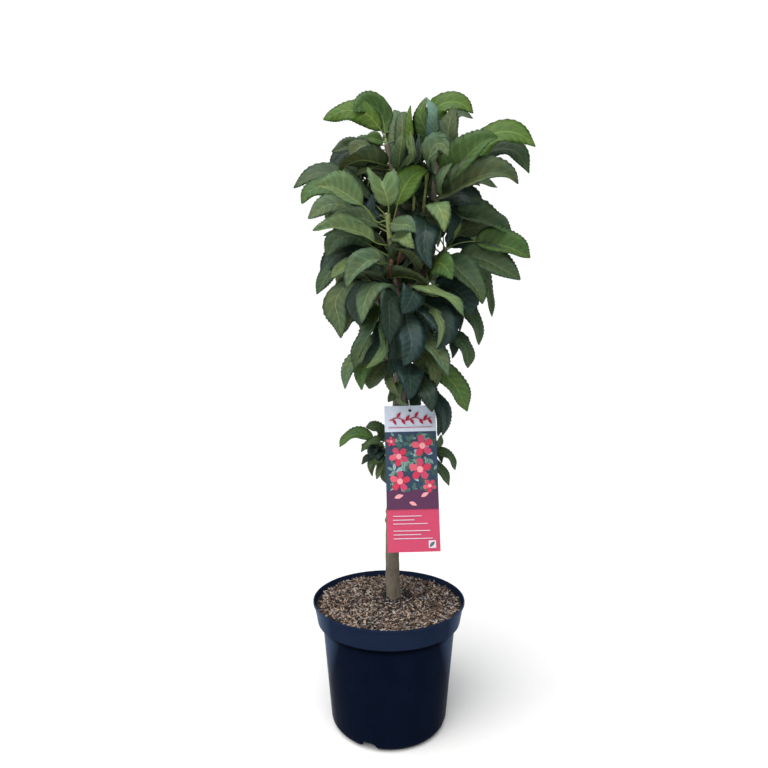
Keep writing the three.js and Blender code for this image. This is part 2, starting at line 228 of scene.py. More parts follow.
# %% A finish
class Finish:
    """A material whose pattern is made of nodes."""

    def __init__(self, name, **even):
        self.material = bpy.data.materials.new(name)
        self.material.use_nodes = True
        self.tree = self.material.node_tree
        self.shader = self.tree.nodes["Principled BSDF"]
        for socket, value in even.items():
            self.shader.inputs[socket.replace("_", " ")].default_value = value

    def node(self, *words):
        return add_node(self.tree, *words)

    def place(self, scale=(1, 1, 1), turn=(0, 0, 0)):
        """Object coordinates, stretched and turned."""
        source = self.node("ShaderNodeTexCoord").outputs["Object"]
        made = self.node("ShaderNodeMapping", None, {"Vector": source, "Scale": scale, "Rotation": turn})
        return made.outputs[0]

    def along(self, axis):
        """How far along X, Y or Z (0, 1 or 2) a point lies, in metres."""
        parts = self.node("ShaderNodeSeparateXYZ", None, {0: self.place()})
        return Term(self, parts.outputs[axis])

    def leaf_map(self):
        """How far across and along its own map a point lies."""
        source = self.node("ShaderNodeUVMap", {"uv_map": "own"}).outputs[0]
        parts = self.node("ShaderNodeSeparateXYZ", None, {0: source})
        return Term(self, parts.outputs[0]), Term(self, parts.outputs[1])

    def cloud(self, scale, detail=3, rough=0.55, place=None):
        """Soft noise between 0 and 1."""
        made = self.node("ShaderNodeTexNoise", None, {
            "Vector": place or self.place(), "Scale": scale, "Detail": detail, "Roughness": rough})
        return Term(self, made.outputs["Fac"])

    def cells(self, scale, place):
        """Distance to the nearest of scattered points."""
        made = self.node("ShaderNodeTexVoronoi", None, {"Vector": place, "Scale": scale})
        return Term(self, made.outputs["Distance"])

    def mix(self, share, first, second):
        """The first colour where share is 0, the second where it is 1."""
        made = self.node("ShaderNodeMix", {"data_type": "RGBA"}, {0: share, 6: first, 7: second})
        return made.outputs[2]

    def colour(self, socket):
        self.tree.links.new(socket, self.shader.inputs["Base Color"])

    def rough(self, term):
        self.tree.links.new(term.socket, self.shader.inputs["Roughness"])

    def relief(self, term, height, strength):
        """Fine relief by shading only, for what is too small to be faces."""
        bump = self.node("ShaderNodeBump", None, {
            "Height": term, "Distance": height, "Strength": strength})
        self.tree.links.new(bump.outputs[0], self.shader.inputs["Normal"])


def paint(red, green, blue):
    """A screen colour (0 to 255) as the linear colour that a shader takes."""
    def linear(value):
        value /= 255
        return value / 12.92 if value <= 0.04045 else ((value + 0.055) / 1.055) ** 2.4
    return (linear(red), linear(green), linear(blue), 1)


print("a middle grey on screen is", round(paint(128, 128, 128)[0], 3), "to a shader")


# %% Helpers for meshes
def new_piece(name, points, faces, materials, faces_of=None, smooth=True):
    """A mesh object at the origin; faces_of gives each face's material."""
    mesh = bpy.data.meshes.new(name)
    mesh.from_pydata([tuple(p) for p in points], [], faces)
    for material in materials:
        mesh.materials.append(material)
    if faces_of is not None:
        mesh.polygons.foreach_set("material_index", np.asarray(faces_of, dtype=np.int32))
    mesh.polygons.foreach_set("use_smooth", np.full(len(mesh.polygons), smooth))
    mesh.update()
    return put_in_scene(name, mesh)


def as_plain_mesh(piece, name):
    """The evaluated shape of piece as a new object with no modifiers; piece is removed."""
    bpy.context.view_layer.update()
    evaluated = piece.evaluated_get(bpy.context.evaluated_depsgraph_get())
    made = put_in_scene(name, bpy.data.meshes.new_from_object(evaluated))
    bpy.data.objects.remove(piece)
    made.data.name = name
    return made


def count(piece):
    """The number of triangles in a piece."""
    return sum(len(face.vertices) - 2 for face in piece.data.polygons)


# %% Floor
FLOOR_RADIUS = 30.0
FLOOR_DROP = 0.0004  # so that it doesn't share a plane with the pot's foot
FLOOR_SIDES = 64
floor_finish = Finish("pale_floor", Roughness=0.9)
floor_finish.colour(floor_finish.mix(floor_finish.cloud(3.0), paint(252, 252, 252), paint(254, 254, 254)))
rim = [(FLOOR_RADIUS * math.cos(a), FLOOR_RADIUS * math.sin(a), -FLOOR_DROP)
       for a in np.linspace(0, 2 * math.pi, FLOOR_SIDES, endpoint=False)]
floor = new_piece("floor", rim, [list(range(FLOOR_SIDES))], [floor_finish.material], smooth=False)
print("floor radius:", FLOOR_RADIUS, "m")

# %% [markdown]
# ## The pot
#
# A nursery pot is formed from thin blue-black plastic: a tapering body, a stepped band
# for stacking, a rolled lip, an underside that stands a little off the floor inside a
# skirt, and slots in the foot so that water drains. A cylinder with bevels could pass
# for it, but one profile turned about the axis gives every radius at once. Arcs round
# each corner of the profile, so the edges catch light as moulded ones do, and the
# slots are cut with a boolean afterwards. The plastic is dusty and nearly matt, and
# paler on the band. A soft grey-blue on the two flanks is a painted reflection of the
# pale surroundings, and a near-black line under the band is painted shade.

# %% The pot's profile
POT_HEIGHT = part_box("pot")[1].z
RIM_RADIUS = 0.130
BAND_HEIGHT = 0.035
BAND_FOOT_RADIUS = 0.122
BODY_TOP_RADIUS = 0.1135
BODY_FOOT_RADIUS = 0.097
CORNER_RADIUS = 0.014
WALL = 0.002
LIP_FALL = 0.0035  # how far the lip hangs down
LIP_OUT = 0.0022  # how far it stands out over the band
LIP_FILLET = 0.0012
LIP_HOLLOW = 0.001  # how far the wall steps in behind the lip
STEP_SLANT = 0.003  # how much the step under the band slopes
UNDERSIDE_RADIUS = 0.076
SKIRT_RADIUS = 0.0785
UNDERSIDE_RISE = 0.0145
POT_SIDES = 144
ON_AXIS = 1e-6  # a smaller radius is a point of the axis
BAND_FOOT = POT_HEIGHT - BAND_HEIGHT
LIP_FOOT = POT_HEIGHT - LIP_FALL
print("band from", round(BAND_FOOT, 4), "to", round(POT_HEIGHT, 4), "m")


def rounded(corners, steps=4):
    """Corners (radius, height, fillet) as a line with an arc at each fillet."""
    line = []
    for index, (r, z, fillet) in enumerate(corners):
        here = Vector((r, z))
        if not fillet or index in (0, len(corners) - 1):
            line.append(here)
            continue
        before = (Vector(corners[index - 1][:2]) - here).normalized()
        after = (Vector(corners[index + 1][:2]) - here).normalized()
        half = before.angle(after) / 2
        reach = fillet / math.tan(half)
        middle = here + (before + after).normalized() * (fillet / math.sin(half))
        start, end = here + before * reach - middle, here + after * reach - middle
        for step in range(steps + 1):
            share = step / steps
            line.append(middle + (start * (1 - share) + end * share).normalized() * fillet)
    return line


def turned(line, sides):
    """Points and faces of a profile turned about Z; a point on the axis is a pole."""
    points, faces, rings = [], [], []
    for r, z in line:
        if r < ON_AXIS:
            rings.append([len(points)])
            points.append((0, 0, z))
            continue
        rings.append(list(range(len(points), len(points) + sides)))
        for j in range(sides):
            turn = 2 * math.pi * j / sides
            points.append((r * math.cos(turn), r * math.sin(turn), z))
    for lower, upper in zip(rings, rings[1:]):
        for j in range(sides):
            k = (j + 1) % sides
            corners = [lower[j % len(lower)], lower[k % len(lower)],
                       upper[k % len(upper)], upper[j % len(upper)]]
            faces.append(list(dict.fromkeys(corners)))
    return points, faces


# %% The profile, from the middle of the underside up the outside and down the inside
PROFILE = [  # radius, height, fillet
    (0, UNDERSIDE_RISE, 0), (UNDERSIDE_RADIUS, UNDERSIDE_RISE, 0.001), (SKIRT_RADIUS, 0, 0.0005),
    (BODY_FOOT_RADIUS, 0, CORNER_RADIUS),
    (BODY_TOP_RADIUS, BAND_FOOT - STEP_SLANT, 0.003),
    (BAND_FOOT_RADIUS, BAND_FOOT, 0.0025),
    (RIM_RADIUS - LIP_OUT, LIP_FOOT - LIP_FILLET, LIP_FILLET),
    (RIM_RADIUS, LIP_FOOT, 0.0008),
    (RIM_RADIUS, POT_HEIGHT, LIP_FILLET),
    (RIM_RADIUS - WALL, POT_HEIGHT, 0.0007),
    (RIM_RADIUS - WALL - LIP_HOLLOW, LIP_FOOT, 0.001),
    (BAND_FOOT_RADIUS - WALL, BAND_FOOT + WALL, 0.002),
    (BODY_TOP_RADIUS - WALL, BAND_FOOT - WALL, 0.003),
    (BODY_FOOT_RADIUS - WALL, UNDERSIDE_RISE + WALL, CORNER_RADIUS - WALL),
    (0, UNDERSIDE_RISE + WALL, 0),
]
pot_points, pot_faces = turned(rounded(PROFILE), POT_SIDES)
print("pot shell:", len(pot_faces), "faces")

# %% The pot's finish: dust, scuffs, a painted reflection on the flanks and painted shade under the band
BODY_PAINTED_REFLECTION = (0.113, 0.130)  # distance to the side at which the painted reflection starts and is full
BODY_PAINTED_REFLECTION_RISE = 0.22  # the higher on the body, the nearer to the middle it starts
BAND_PAINTED_REFLECTION = (0.092, 0.116)
INSIDE_MASK = (-0.00012, -0.00004)  # squared radius less the outside's: the painted reflection stays off the inner wall

plastic = Finish("pot_plastic", Specular_IOR_Level=0.003, IOR=1.49, Specular_Tint=(0.25, 0.5, 1.0, 1))
dust = plastic.cloud(34, 5, 0.62)
streaks = plastic.cloud(9, 4, 0.6, plastic.place((1.4, 1.4, 0.18)))
scuffs = plastic.cloud(160, 2, 0.5, plastic.place((1, 1, 0.12), (0, 0.3, 0)))
dusty = dust * streaks * 1.3
body = plastic.mix(dusty, paint(8, 15, 29), paint(15, 24, 42))
band = plastic.mix(dusty, paint(22, 32, 52), paint(34, 45, 68))
height, to_side, to_back = plastic.along(2), plastic.along(0).size(), plastic.along(1)
slope = (RIM_RADIUS - LIP_OUT - BAND_FOOT_RADIUS) / (LIP_FOOT - LIP_FILLET - BAND_FOOT)
outside = (height - BAND_FOOT) * slope + BAND_FOOT_RADIUS
on_outside = (to_side * to_side + to_back * to_back - outside * outside).clear_of(*INSIDE_MASK)
# painted reflection: body and band turn a paler grey-blue towards the left and right flanks, standing in
# for the pale surroundings mirrored in the plastic
body = plastic.mix((to_side + height * BODY_PAINTED_REFLECTION_RISE).clear_of(*BODY_PAINTED_REFLECTION), body, paint(46, 62, 86))
band = plastic.mix(to_side.clear_of(*BAND_PAINTED_REFLECTION) * on_outside, band, paint(54, 72, 97))
tone = plastic.mix(height.clear_of(BAND_FOOT - 0.002, BAND_FOOT + 0.001), body, band)
# painted shade: a near-black line just under the band, where its overhang would shade the body
below_band = height.clear_of(BAND_FOOT - 0.013, BAND_FOOT - 0.005)
painted_band_shade = below_band * height.clear_of(BAND_FOOT + 0.002, BAND_FOOT)
plastic.colour(plastic.mix(painted_band_shade * 0.9, tone, paint(3, 5, 10)))
plastic.rough(0.15 + dust * 0.14 + scuffs * 0.06)
plastic.relief(dust * 0.5 + scuffs * 0.25, 0.0006, 0.35)

# %% The pot with its drain slots
DRAINS = 4
DRAIN_WIDTH = 0.028
DRAIN_HEIGHT = 0.013
DRAIN_REACH = (0.070, 0.110)  # radii between which the cutter lies
FIRST_DRAIN = -110  # degrees round from +X
ARCH = [(-1, -1), (1, -1), (1, 0.45), (0.8, 0.85), (0.45, 1), (-0.45, 1), (-0.8, 0.85), (-1, 0.45)]
SHARP_EDGE = math.radians(35)


def drain_cutter(turn):
    """A block with an arched top that lies across the pot's foot."""
    block = bmesh.new()
    inner, outer = [[block.verts.new(turn @ Vector((r, across * DRAIN_WIDTH / 2, up * DRAIN_HEIGHT)))
                     for across, up in ARCH] for r in DRAIN_REACH]
    block.faces.new(inner)
    block.faces.new(outer[::-1])
    for j in range(len(ARCH)):
        k = (j + 1) % len(ARCH)
        block.faces.new((inner[j], outer[j], outer[k], inner[k]))
    bmesh.ops.recalc_face_normals(block, faces=block.faces)
    mesh = bpy.data.meshes.new("drain_cutter")
    block.to_mesh(mesh)
    block.free()
    return put_in_scene("drain_cutter", mesh)


pot = new_piece("pot_shell", pot_points, pot_faces, [plastic.material])
for number in range(DRAINS):
    cutter = drain_cutter(Matrix.Rotation(math.radians(FIRST_DRAIN + 360 / DRAINS * number), 4, "Z"))
    cut = pot.modifiers.new("drain", "BOOLEAN")
    cut.object = cutter
    cut.operation = "DIFFERENCE"
    pot = as_plain_mesh(pot, "pot_shell")
    bpy.data.objects.remove(cutter)
pot.data.materials.clear()
pot.data.materials.append(plastic.material)
pot.data.polygons.foreach_set("use_smooth", [True] * len(pot.data.polygons))
pot.data.set_sharp_from_angle(angle=SHARP_EDGE)
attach(pot, "root")
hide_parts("pot")
print("pot:", count(pot), "triangles, height", round(POT_HEIGHT, 3))

# %% [markdown]
# ## Soil and bark mulch
#
# The pot is filled to about a centimetre below its lip, and topped with chipped
# bark: thin splinters from half a centimetre to two long, tan, grey, brown and near
# black, lying every way. A bump pattern would look painted on from the side, so they
# are real. They are the same few shapes over and over, so Geometry Nodes scatter
# them: points on the bed, one of four rough boxes on each, turned and stretched at
# random, darker round the stem, and made real at the end as ordinary faces.

# %% The bed's surface
SOIL_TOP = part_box("soil")[1].z
BED_RADIUS = 0.1252
BED_DEPTH = 0.018
BED_RISE = 0.0034
EDGE_FALL = 0.003
LUMPS = [(45, 1.7, 0.0022), (150, 4.1, 0.0012)]  # how many to a metre, where in the noise, height
MOUND_HEIGHT, MOUND_RADIUS = 0.005, 0.028
TRUNK_FOOT = Vector((0.010, 0.0, SOIL_TOP))


def bed_height(x, y):
    """The lumpy surface of the bed, heaped round the stem and falling off at the wall."""
    far = math.hypot(x, y) / BED_RADIUS
    lumps = sum(noise.noise(Vector((x * many, y * many, where))) * high for many, where, high in LUMPS)
    mound = MOUND_HEIGHT * math.exp(-((Vector((x, y)) - TRUNK_FOOT.xy).length / MOUND_RADIUS) ** 2)
    return SOIL_TOP + BED_RISE + lumps + mound - EDGE_FALL * far ** 6


def ground_rings(radius, rings):
    """A flat profile from the wall in to the axis."""
    return [(radius * (1 - k / rings), SOIL_TOP) for k in range(rings + 1)]


print("soil top:", round(SOIL_TOP, 4), "m")

# %% The bed
FOOT_TAPER = 0.0052
BED_RINGS, BED_SIDES = 30, 96

line = [(0, SOIL_TOP - BED_DEPTH), (BED_RADIUS - FOOT_TAPER, SOIL_TOP - BED_DEPTH)]
points, faces = turned(line + ground_rings(BED_RADIUS, BED_RINGS), BED_SIDES)
points = [(x, y, bed_height(x, y) if z == SOIL_TOP else z) for x, y, z in points]

crumb = Finish("damp_soil", Roughness=0.95)
grain = crumb.cloud(420, 4, 0.7)
crumb.colour(crumb.mix(grain, paint(26, 21, 19), paint(62, 50, 42)))
crumb.relief(grain, 0.0025, 0.9)
bed = new_piece("soil_bed", points, faces, [crumb.material])
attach(bed, "root")
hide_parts("soil")
print("bed:", count(bed), "triangles")

# %% The finishes of the splinters
CHIP_COLOURS = {
    "chip_tan": (paint(194, 174, 155), paint(138, 116, 100)),
    "chip_brown": (paint(118, 95, 83), paint(74, 57, 50)),
    "chip_dark": (paint(42, 35, 33), paint(18, 16, 16)),
    "chip_grey": (paint(192, 188, 186), paint(132, 127, 126)),
}
chip_finishes = []
for name, (light, dark) in CHIP_COLOURS.items():
    chip = Finish(name, Roughness=0.9)
    fibre = chip.cloud(300, 4, 0.65, chip.place((1, 1, 1.6)))
    chip.colour(chip.mix(fibre.clear_of(0.3, 0.75), light, dark))
    chip.relief(fibre, 0.0012, 0.7)
    chip_finishes.append(chip.material)
print("splinter finishes:", len(chip_finishes))


# %% A helper for Geometry Nodes
class Nodes:
    """Builds a Geometry Nodes tree, one call for each node."""

    def __init__(self, name):
        self.tree = bpy.data.node_groups.new(name, "GeometryNodeTree")
        self.tree.interface.new_socket("Geometry", in_out="OUTPUT", socket_type="NodeSocketGeometry")
        self.tree.interface.new_socket("Geometry", in_out="INPUT", socket_type="NodeSocketGeometry")
        self.entry = self.tree.nodes.new("NodeGroupInput")
        self.exit = self.tree.nodes.new("NodeGroupOutput")

    def size(self, name, value, kind="NodeSocketFloat"):
        """A named input with its value."""
        socket = self.tree.interface.new_socket(name, in_out="INPUT", socket_type=kind)
        socket.default_value = value
        return self.entry.outputs[name]

    def node(self, *words):
        return add_node(self.tree, *words)

    def random(self, low, high, seed, kind="FLOAT"):
        """A random value for each point."""
        made = self.node("FunctionNodeRandomValue", {"data_type": kind})
        sockets = [s for s in made.inputs if s.enabled and s.name in ("Min", "Max")]
        sockets[0].default_value, sockets[1].default_value = low, high
        made.inputs["Seed"].default_value = seed
        return next(s for s in made.outputs if s.enabled)


# %% The tree that scatters splinters
SPLINTERS_TO_A_SQUARE_METRE = 135000.0
SPLINTER_LENGTH = 0.0138
SPLINTER_SHAPES = [(0.13, 0.09), (0.085, 0.07), (0.17, 0.07), (0.065, 0.06)]  # width, thickness
DARK_RING = (0.018, 0.040)  # from the stem: darkest up to the first radius, no darker from the second
DARK_SHADE = 0.74
SHADE_LIMITS = (-1.0, 0.21, 0.5, 0.9)  # shade above which each of the finishes is taken


def splinter_tree():
    """Scatters splinters over the faces that come in."""
    nodes = Nodes("bark_mulch")
    density = nodes.size("Splinters per square metre", SPLINTERS_TO_A_SQUARE_METRE)
    length = nodes.size("Splinter length", SPLINTER_LENGTH)
    seed = nodes.size("Seed", 7, "NodeSocketInt")
    shapes = []
    for number, (across, thick) in enumerate(SPLINTER_SHAPES):
        box = nodes.node("GeometryNodeMeshCube", None, {"Size": (1.0, across, thick), "Vertices X": 4})
        ragged = nodes.node("ShaderNodeTexNoise", None, {"Scale": 2.3 + number})
        bent = nodes.node("ShaderNodeVectorMath", {"operation": "SUBTRACT"},
                          {0: ragged.outputs["Color"], 1: (0.5, 0.5, 0.5)})
        shift = nodes.node("ShaderNodeVectorMath", {"operation": "MULTIPLY"},
                           {0: bent.outputs[0], 1: (0.7, 0.16 + across * 0.4, 0.26)})
        shapes.append(nodes.node("GeometryNodeSetPosition", None, {
            "Geometry": box.outputs["Mesh"], "Offset": shift.outputs[0]}).outputs[0])
    shelf = nodes.node("GeometryNodeGeometryToInstance", None, {0: shapes[::-1]})
    dots = nodes.node("GeometryNodeDistributePointsOnFaces", None, {
        "Mesh": nodes.entry.outputs["Geometry"], "Density": density, "Seed": seed})
    tilt = nodes.random((-0.55, -0.5, 0.0), (0.55, 0.5, 6.283), 3, "FLOAT_VECTOR")  # radians
    stretch = nodes.random((0.4, 0.6, 0.7), (1.4, 1.25, 1.5), 5, "FLOAT_VECTOR")
    sized = nodes.node("ShaderNodeVectorMath", {"operation": "SCALE"}, {0: stretch, "Scale": length})
    from_trunk = nodes.node("ShaderNodeVectorMath", {"operation": "DISTANCE"}, {
        0: nodes.node("GeometryNodeInputPosition").outputs[0], 1: tuple(TRUNK_FOOT)})
    near = nodes.node("ShaderNodeMapRange", None, {
        "Value": from_trunk.outputs["Value"], "From Min": DARK_RING[0], "From Max": DARK_RING[1],
        "To Min": DARK_SHADE, "To Max": 0.0})
    darker = nodes.node("ShaderNodeMath", {"operation": "MAXIMUM"}, {
        0: nodes.random(0.0, 1.0, 11), 1: near.outputs["Result"]})
    shade = nodes.node("GeometryNodeStoreNamedAttribute", {"data_type": "FLOAT", "domain": "POINT"}, {
        "Geometry": dots.outputs["Points"], "Name": "shade", "Value": darker.outputs[0]})
    laid = nodes.node("GeometryNodeInstanceOnPoints", None, {
        "Points": shade.outputs[0], "Instance": shelf.outputs[0], "Pick Instance": True,
        "Instance Index": nodes.random(0, len(shapes) - 1, 9, "INT"),
        "Rotation": tilt, "Scale": sized.outputs[0]})
    real = nodes.node("GeometryNodeRealizeInstances", None, {0: laid.outputs[0]}).outputs[0]
    shown = nodes.node("GeometryNodeInputNamedAttribute", {"data_type": "FLOAT"}, {"Name": "shade"})
    value = next(s for s in shown.outputs if s.enabled)
    for limit, material in zip(SHADE_LIMITS, chip_finishes):
        chosen = nodes.node("FunctionNodeCompare", {"data_type": "FLOAT", "operation": "GREATER_THAN"},
                            {0: value, 1: limit})
        real = nodes.node("GeometryNodeSetMaterial", None, {
            "Geometry": real, "Selection": chosen.outputs[0], "Material": material}).outputs[0]
    nodes.tree.links.new(real, nodes.exit.inputs[0])
    return nodes.tree


# %% Splinters on the bed
SPREAD_RADIUS = 0.1168
SPREAD_RINGS, SPREAD_SIDES = 12, 48
SPREAD_RISE = 0.0012
points, faces = turned(ground_rings(SPREAD_RADIUS, SPREAD_RINGS), SPREAD_SIDES)
points = [(x, y, bed_height(x, y) + SPREAD_RISE) for x, y, _ in points]
mulch = new_piece("mulch_ground", points, faces, [])
scatter = mulch.modifiers.new("scatter", "NODES")
scatter.node_group = splinter_tree()
mulch = as_plain_mesh(mulch, "mulch_splinters")
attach(mulch, "root")
print("mulch:", count(mulch), "triangles")

# %% [markdown]
# ## Trunk and boughs
#
# The trunk of a columnar apple is a single rod, little thicker at its foot than at
# its head, with smooth olive-grey bark, fine cracks along the grain, old leaf scars
# and corky dots. Limbs grow out of it with a collar, so separate tubes would show a
# hard seam, and a skin modifier would give no say in the thickness. So tubes are
# fused with a voxel remesh, and the relief is pressed into the fused skin afterwards.

# %% Lines of the wood: x, y, z and radius
TRUNK = [
    (0.010, 0, 0.1950, 0.0172), (0.009, 0, 0.2033, 0.0136), (0.007, 0, 0.230, 0.0122),
    (0.006, 0, 0.290, 0.0118), (0.008, 0.001, 0.370, 0.0116), (0.014, 0.001, 0.460, 0.0114),
    (0.019, 0, 0.575, 0.011), (0.019, 0, 0.665, 0.0104), (0.014, 0, 0.745, 0.0096),
    (0.012, 0, 0.772, 0.0088),
]
BOUGHS = {
    "leader": [(0.012, 0, 0.766, 0.008), (0.020, 0.001, 0.840, 0.0072), (0.012, 0.001, 0.920, 0.006),
               (-0.004, 0, 0.988, 0.0046)],
    "bough_top_right": [(0.013, 0, 0.760, 0.0074), (0.034, -0.004, 0.815, 0.007),
                        (0.072, -0.014, 0.880, 0.0062), (0.084, -0.008, 0.965, 0.0046)],
    "shoot_front": [(0.012, 0, 0.752, 0.007), (0.008, -0.026, 0.776, 0.0062),
                    (0.001, -0.058, 0.812, 0.005)],
    "bough_right": [(0.016, 0, 0.722, 0.007), (0.054, -0.006, 0.762, 0.006),
                    (0.096, -0.010, 0.802, 0.0044)],
    "bough_left": [(0.016, 0, 0.690, 0.0064), (-0.014, -0.010, 0.712, 0.0054),
                   (-0.038, -0.016, 0.730, 0.004)],
    "spur_front": [(0.019, 0, 0.668, 0.006), (0.024, -0.030, 0.690, 0.005),
                   (0.028, -0.060, 0.706, 0.004)],
    "bough_back_left": [(0.015, 0, 0.730, 0.0066), (-0.006, 0.034, 0.758, 0.0056),
                        (-0.028, 0.062, 0.778, 0.0042)],
    "bough_back_right": [(0.017, 0, 0.700, 0.0066), (0.044, 0.034, 0.732, 0.0056),
                         (0.066, 0.062, 0.752, 0.0042)],
    "bough_top_back": [(0.020, 0.001, 0.838, 0.0058), (0.024, 0.032, 0.884, 0.005),
                       (0.026, 0.064, 0.944, 0.004)],
    "bough_low_right": [(0.019, 0, 0.556, 0.006), (0.044, -0.012, 0.568, 0.005),
                        (0.074, -0.018, 0.600, 0.004)],
    "spur_low_left": [(0.014, 0.001, 0.452, 0.0046), (-0.006, 0.006, 0.458, 0.0038),
                      (-0.018, 0.008, 0.460, 0.003)],
    "spur_low_right": [(0.014, 0.001, 0.446, 0.0046), (0.040, 0.008, 0.454, 0.0038),
                       (0.066, 0.012, 0.458, 0.003)],
}
print("boughs:", len(BOUGHS))


# %% Smooth lines
TINY = 1e-12  # keeps a division from failing


def smooth_line(points, steps):
    """A curve through points of any size, by Catmull and Rom's rule."""
    given = np.array(points, dtype=float)
    if len(given) == 2:
        shares = np.linspace(0, 1, steps + 1)[:, None]
        return given[0] * (1 - shares) + given[1] * shares
    padded = np.vstack([2 * given[0] - given[1], given, 2 * given[-1] - given[-2]])
    made = []
    for place in np.linspace(0, len(given) - 1, steps + 1):
        k = min(int(place), len(given) - 2)
        t = place - k
        a, b, c, d = padded[k:k + 4]
        made.append(0.5 * (2 * b + (c - a) * t + (2 * a - 5 * b + 4 * c - d) * t * t
                           + (3 * b - a - 3 * c + d) * t ** 3))
    return np.array(made)


def ways_ahead(line):
    """The direction of a line at each of its points."""
    ahead = np.gradient(line, axis=0)
    return ahead / (np.linalg.norm(ahead, axis=1)[:, None] + TINY)


def frames_along(line):
    """Directions to the side and up at each point of a line, turning as little as they can."""
    ahead = ways_ahead(line)
    start = (0.0, 1.0, 0.0) if abs(ahead[0][1]) < 0.9 else (1.0, 0.0, 0.0)
    sides, ups = [], []
    side = np.cross(start, ahead[0])
    for direction in ahead:
        side = side - direction * side.dot(direction)
        side /= np.linalg.norm(side) + TINY
        sides.append(side)
        ups.append(np.cross(direction, side))
    return sides, ups


# %% Many small shapes in one piece
class Heap:
    """Points and faces of many small shapes that end up in one piece."""

    def __init__(self):
        self.points, self.faces, self.kinds, self.maps, self.total = [], [], [], [], 0

    def add(self, points, faces, kinds, maps=None):
        """Takes in a shape; kinds are its faces' materials, maps its points' places on a map."""
        self.points.append(np.asarray(points, dtype=float))
        self.faces += [[corner + self.total for corner in face] for face in faces]
        self.kinds += list(kinds)
        if maps is not None:
            self.maps.append(np.asarray(maps, dtype=float))
        self.total += len(points)

    def tube(self, line, radii, sides, kind):
        """A closed tube along a line."""
        line = np.asarray(line, dtype=float)
        across, up = frames_along(line)
        turns = np.linspace(0, 2 * math.pi, sides, endpoint=False)
        rings = [p + r * (np.cos(turns)[:, None] * s + np.sin(turns)[:, None] * u)
                 for p, r, s, u in zip(line, radii, across, up)]
        faces = []
        for i in range(len(line) - 1):
            for j in range(sides):
                k = (j + 1) % sides
                faces.append((i * sides + j, i * sides + k, (i + 1) * sides + k, (i + 1) * sides + j))
        faces.append(tuple(range(sides - 1, -1, -1)))
        faces.append(tuple((len(line) - 1) * sides + j for j in range(sides)))
        self.add(np.concatenate(rings), faces, [kind] * len(faces))

    def piece(self, name, materials, smooth=True):
        made = new_piece(name, np.concatenate(self.points), self.faces, materials, self.kinds, smooth)
        if self.maps:
            layer = made.data.uv_layers.new(name="own")
            corners = np.zeros(len(made.data.loops), dtype=np.int32)
            made.data.loops.foreach_get("vertex_index", corners)
            layer.data.foreach_set("uv", np.concatenate(self.maps)[corners].astype(np.float32).ravel())
        return made


# %% The fused wood
VOXEL = 0.0015
TRUNK_STEPS, TRUNK_SIDES = 60, 24
BOUGH_STEPS, BOUGH_SIDES = 16, 14
COLLAR_SWELL, COLLAR_REACH = 0.35, 0.12  # thicker by this share at the root, dying off over that share

wood = Heap()
trunk_line = smooth_line(TRUNK, TRUNK_STEPS)
wood.tube(trunk_line[:, :3], trunk_line[:, 3], TRUNK_SIDES, 0)
collar = 1 + COLLAR_SWELL * np.exp(-np.linspace(0, 1, BOUGH_STEPS + 1) / COLLAR_REACH)
for line in BOUGHS.values():
    limb = smooth_line(line, BOUGH_STEPS)
    wood.tube(limb[:, :3], limb[:, 3] * collar, BOUGH_SIDES, 0)
rough_wood = wood.piece("rough_wood", [])
fuse = rough_wood.modifiers.new("fuse", "REMESH")
fuse.mode = "VOXEL"
fuse.voxel_size = VOXEL
fused = as_plain_mesh(rough_wood, "bark")
print("fused wood:", count(fused), "triangles")

# %% Knots and the bark's height
KNOTS = [  # height, degrees round from +X, how far it stands out, how wide
    (0.338, 195, 0.0028, 0.0045), (0.352, 170, 0.0018, 0.004), (0.322, 215, 0.0014, 0.004),
    (0.262, 320, 0.0016, 0.006), (0.395, 250, 0.0012, 0.004), (0.236, 150, 0.002, 0.007),
    (0.430, 60, 0.002, 0.005), (0.510, 120, 0.0022, 0.005), (0.625, 300, 0.002, 0.005),
    (0.548, 205, 0.0018, 0.005), (0.300, 40, 0.0018, 0.006), (0.690, 30, 0.002, 0.005),
]
BARK_GRAIN = [  # how many to a metre across and along, where in the noise, height
    (420, 38, 0, 0.00032), (160, 60, 9, 0.00045), (60, 330, 5, 0.0002),
]
knot_places = []
for height, turn, out, wide in KNOTS:
    centre = np.array([np.interp(height, trunk_line[:, 2], trunk_line[:, k]) for k in range(4)])
    direction = np.array((math.cos(math.radians(turn)), math.sin(math.radians(turn)), 0))
    knot_places.append((Vector(centre[:3] + direction * centre[3]), out, wide))


def bark_height(place):
    """How far the bark stands out at a place: long cracks, plates, ripples and knots."""
    height = sum(high * noise.noise(Vector((place.x * across, place.y * across, place.z * along + where)))
                 for across, along, where, high in BARK_GRAIN)
    for centre, out, wide in knot_places:
        height += out * math.exp(-((place - centre).length / wide) ** 2)
    return height


print("knots:", len(KNOTS))

# %% Relief pressed into the bark
skin = np.zeros(len(fused.data.vertices) * 3)
out = np.zeros(len(fused.data.vertices) * 3)
fused.data.vertices.foreach_get("co", skin)
fused.data.vertex_normals.foreach_get("vector", out)
skin, out = skin.reshape(-1, 3), out.reshape(-1, 3)
skin += out * np.array([bark_height(Vector(place)) for place in skin])[:, None]
skin[:, 2] = np.maximum(skin[:, 2], TRUNK[0][2])
fused.data.vertices.foreach_set("co", skin.ravel())
fused.data.update()
fused.data.polygons.foreach_set("use_smooth", [True] * len(fused.data.polygons))
print("bark reaches", round(skin[:, 2].max(), 3), "m up")

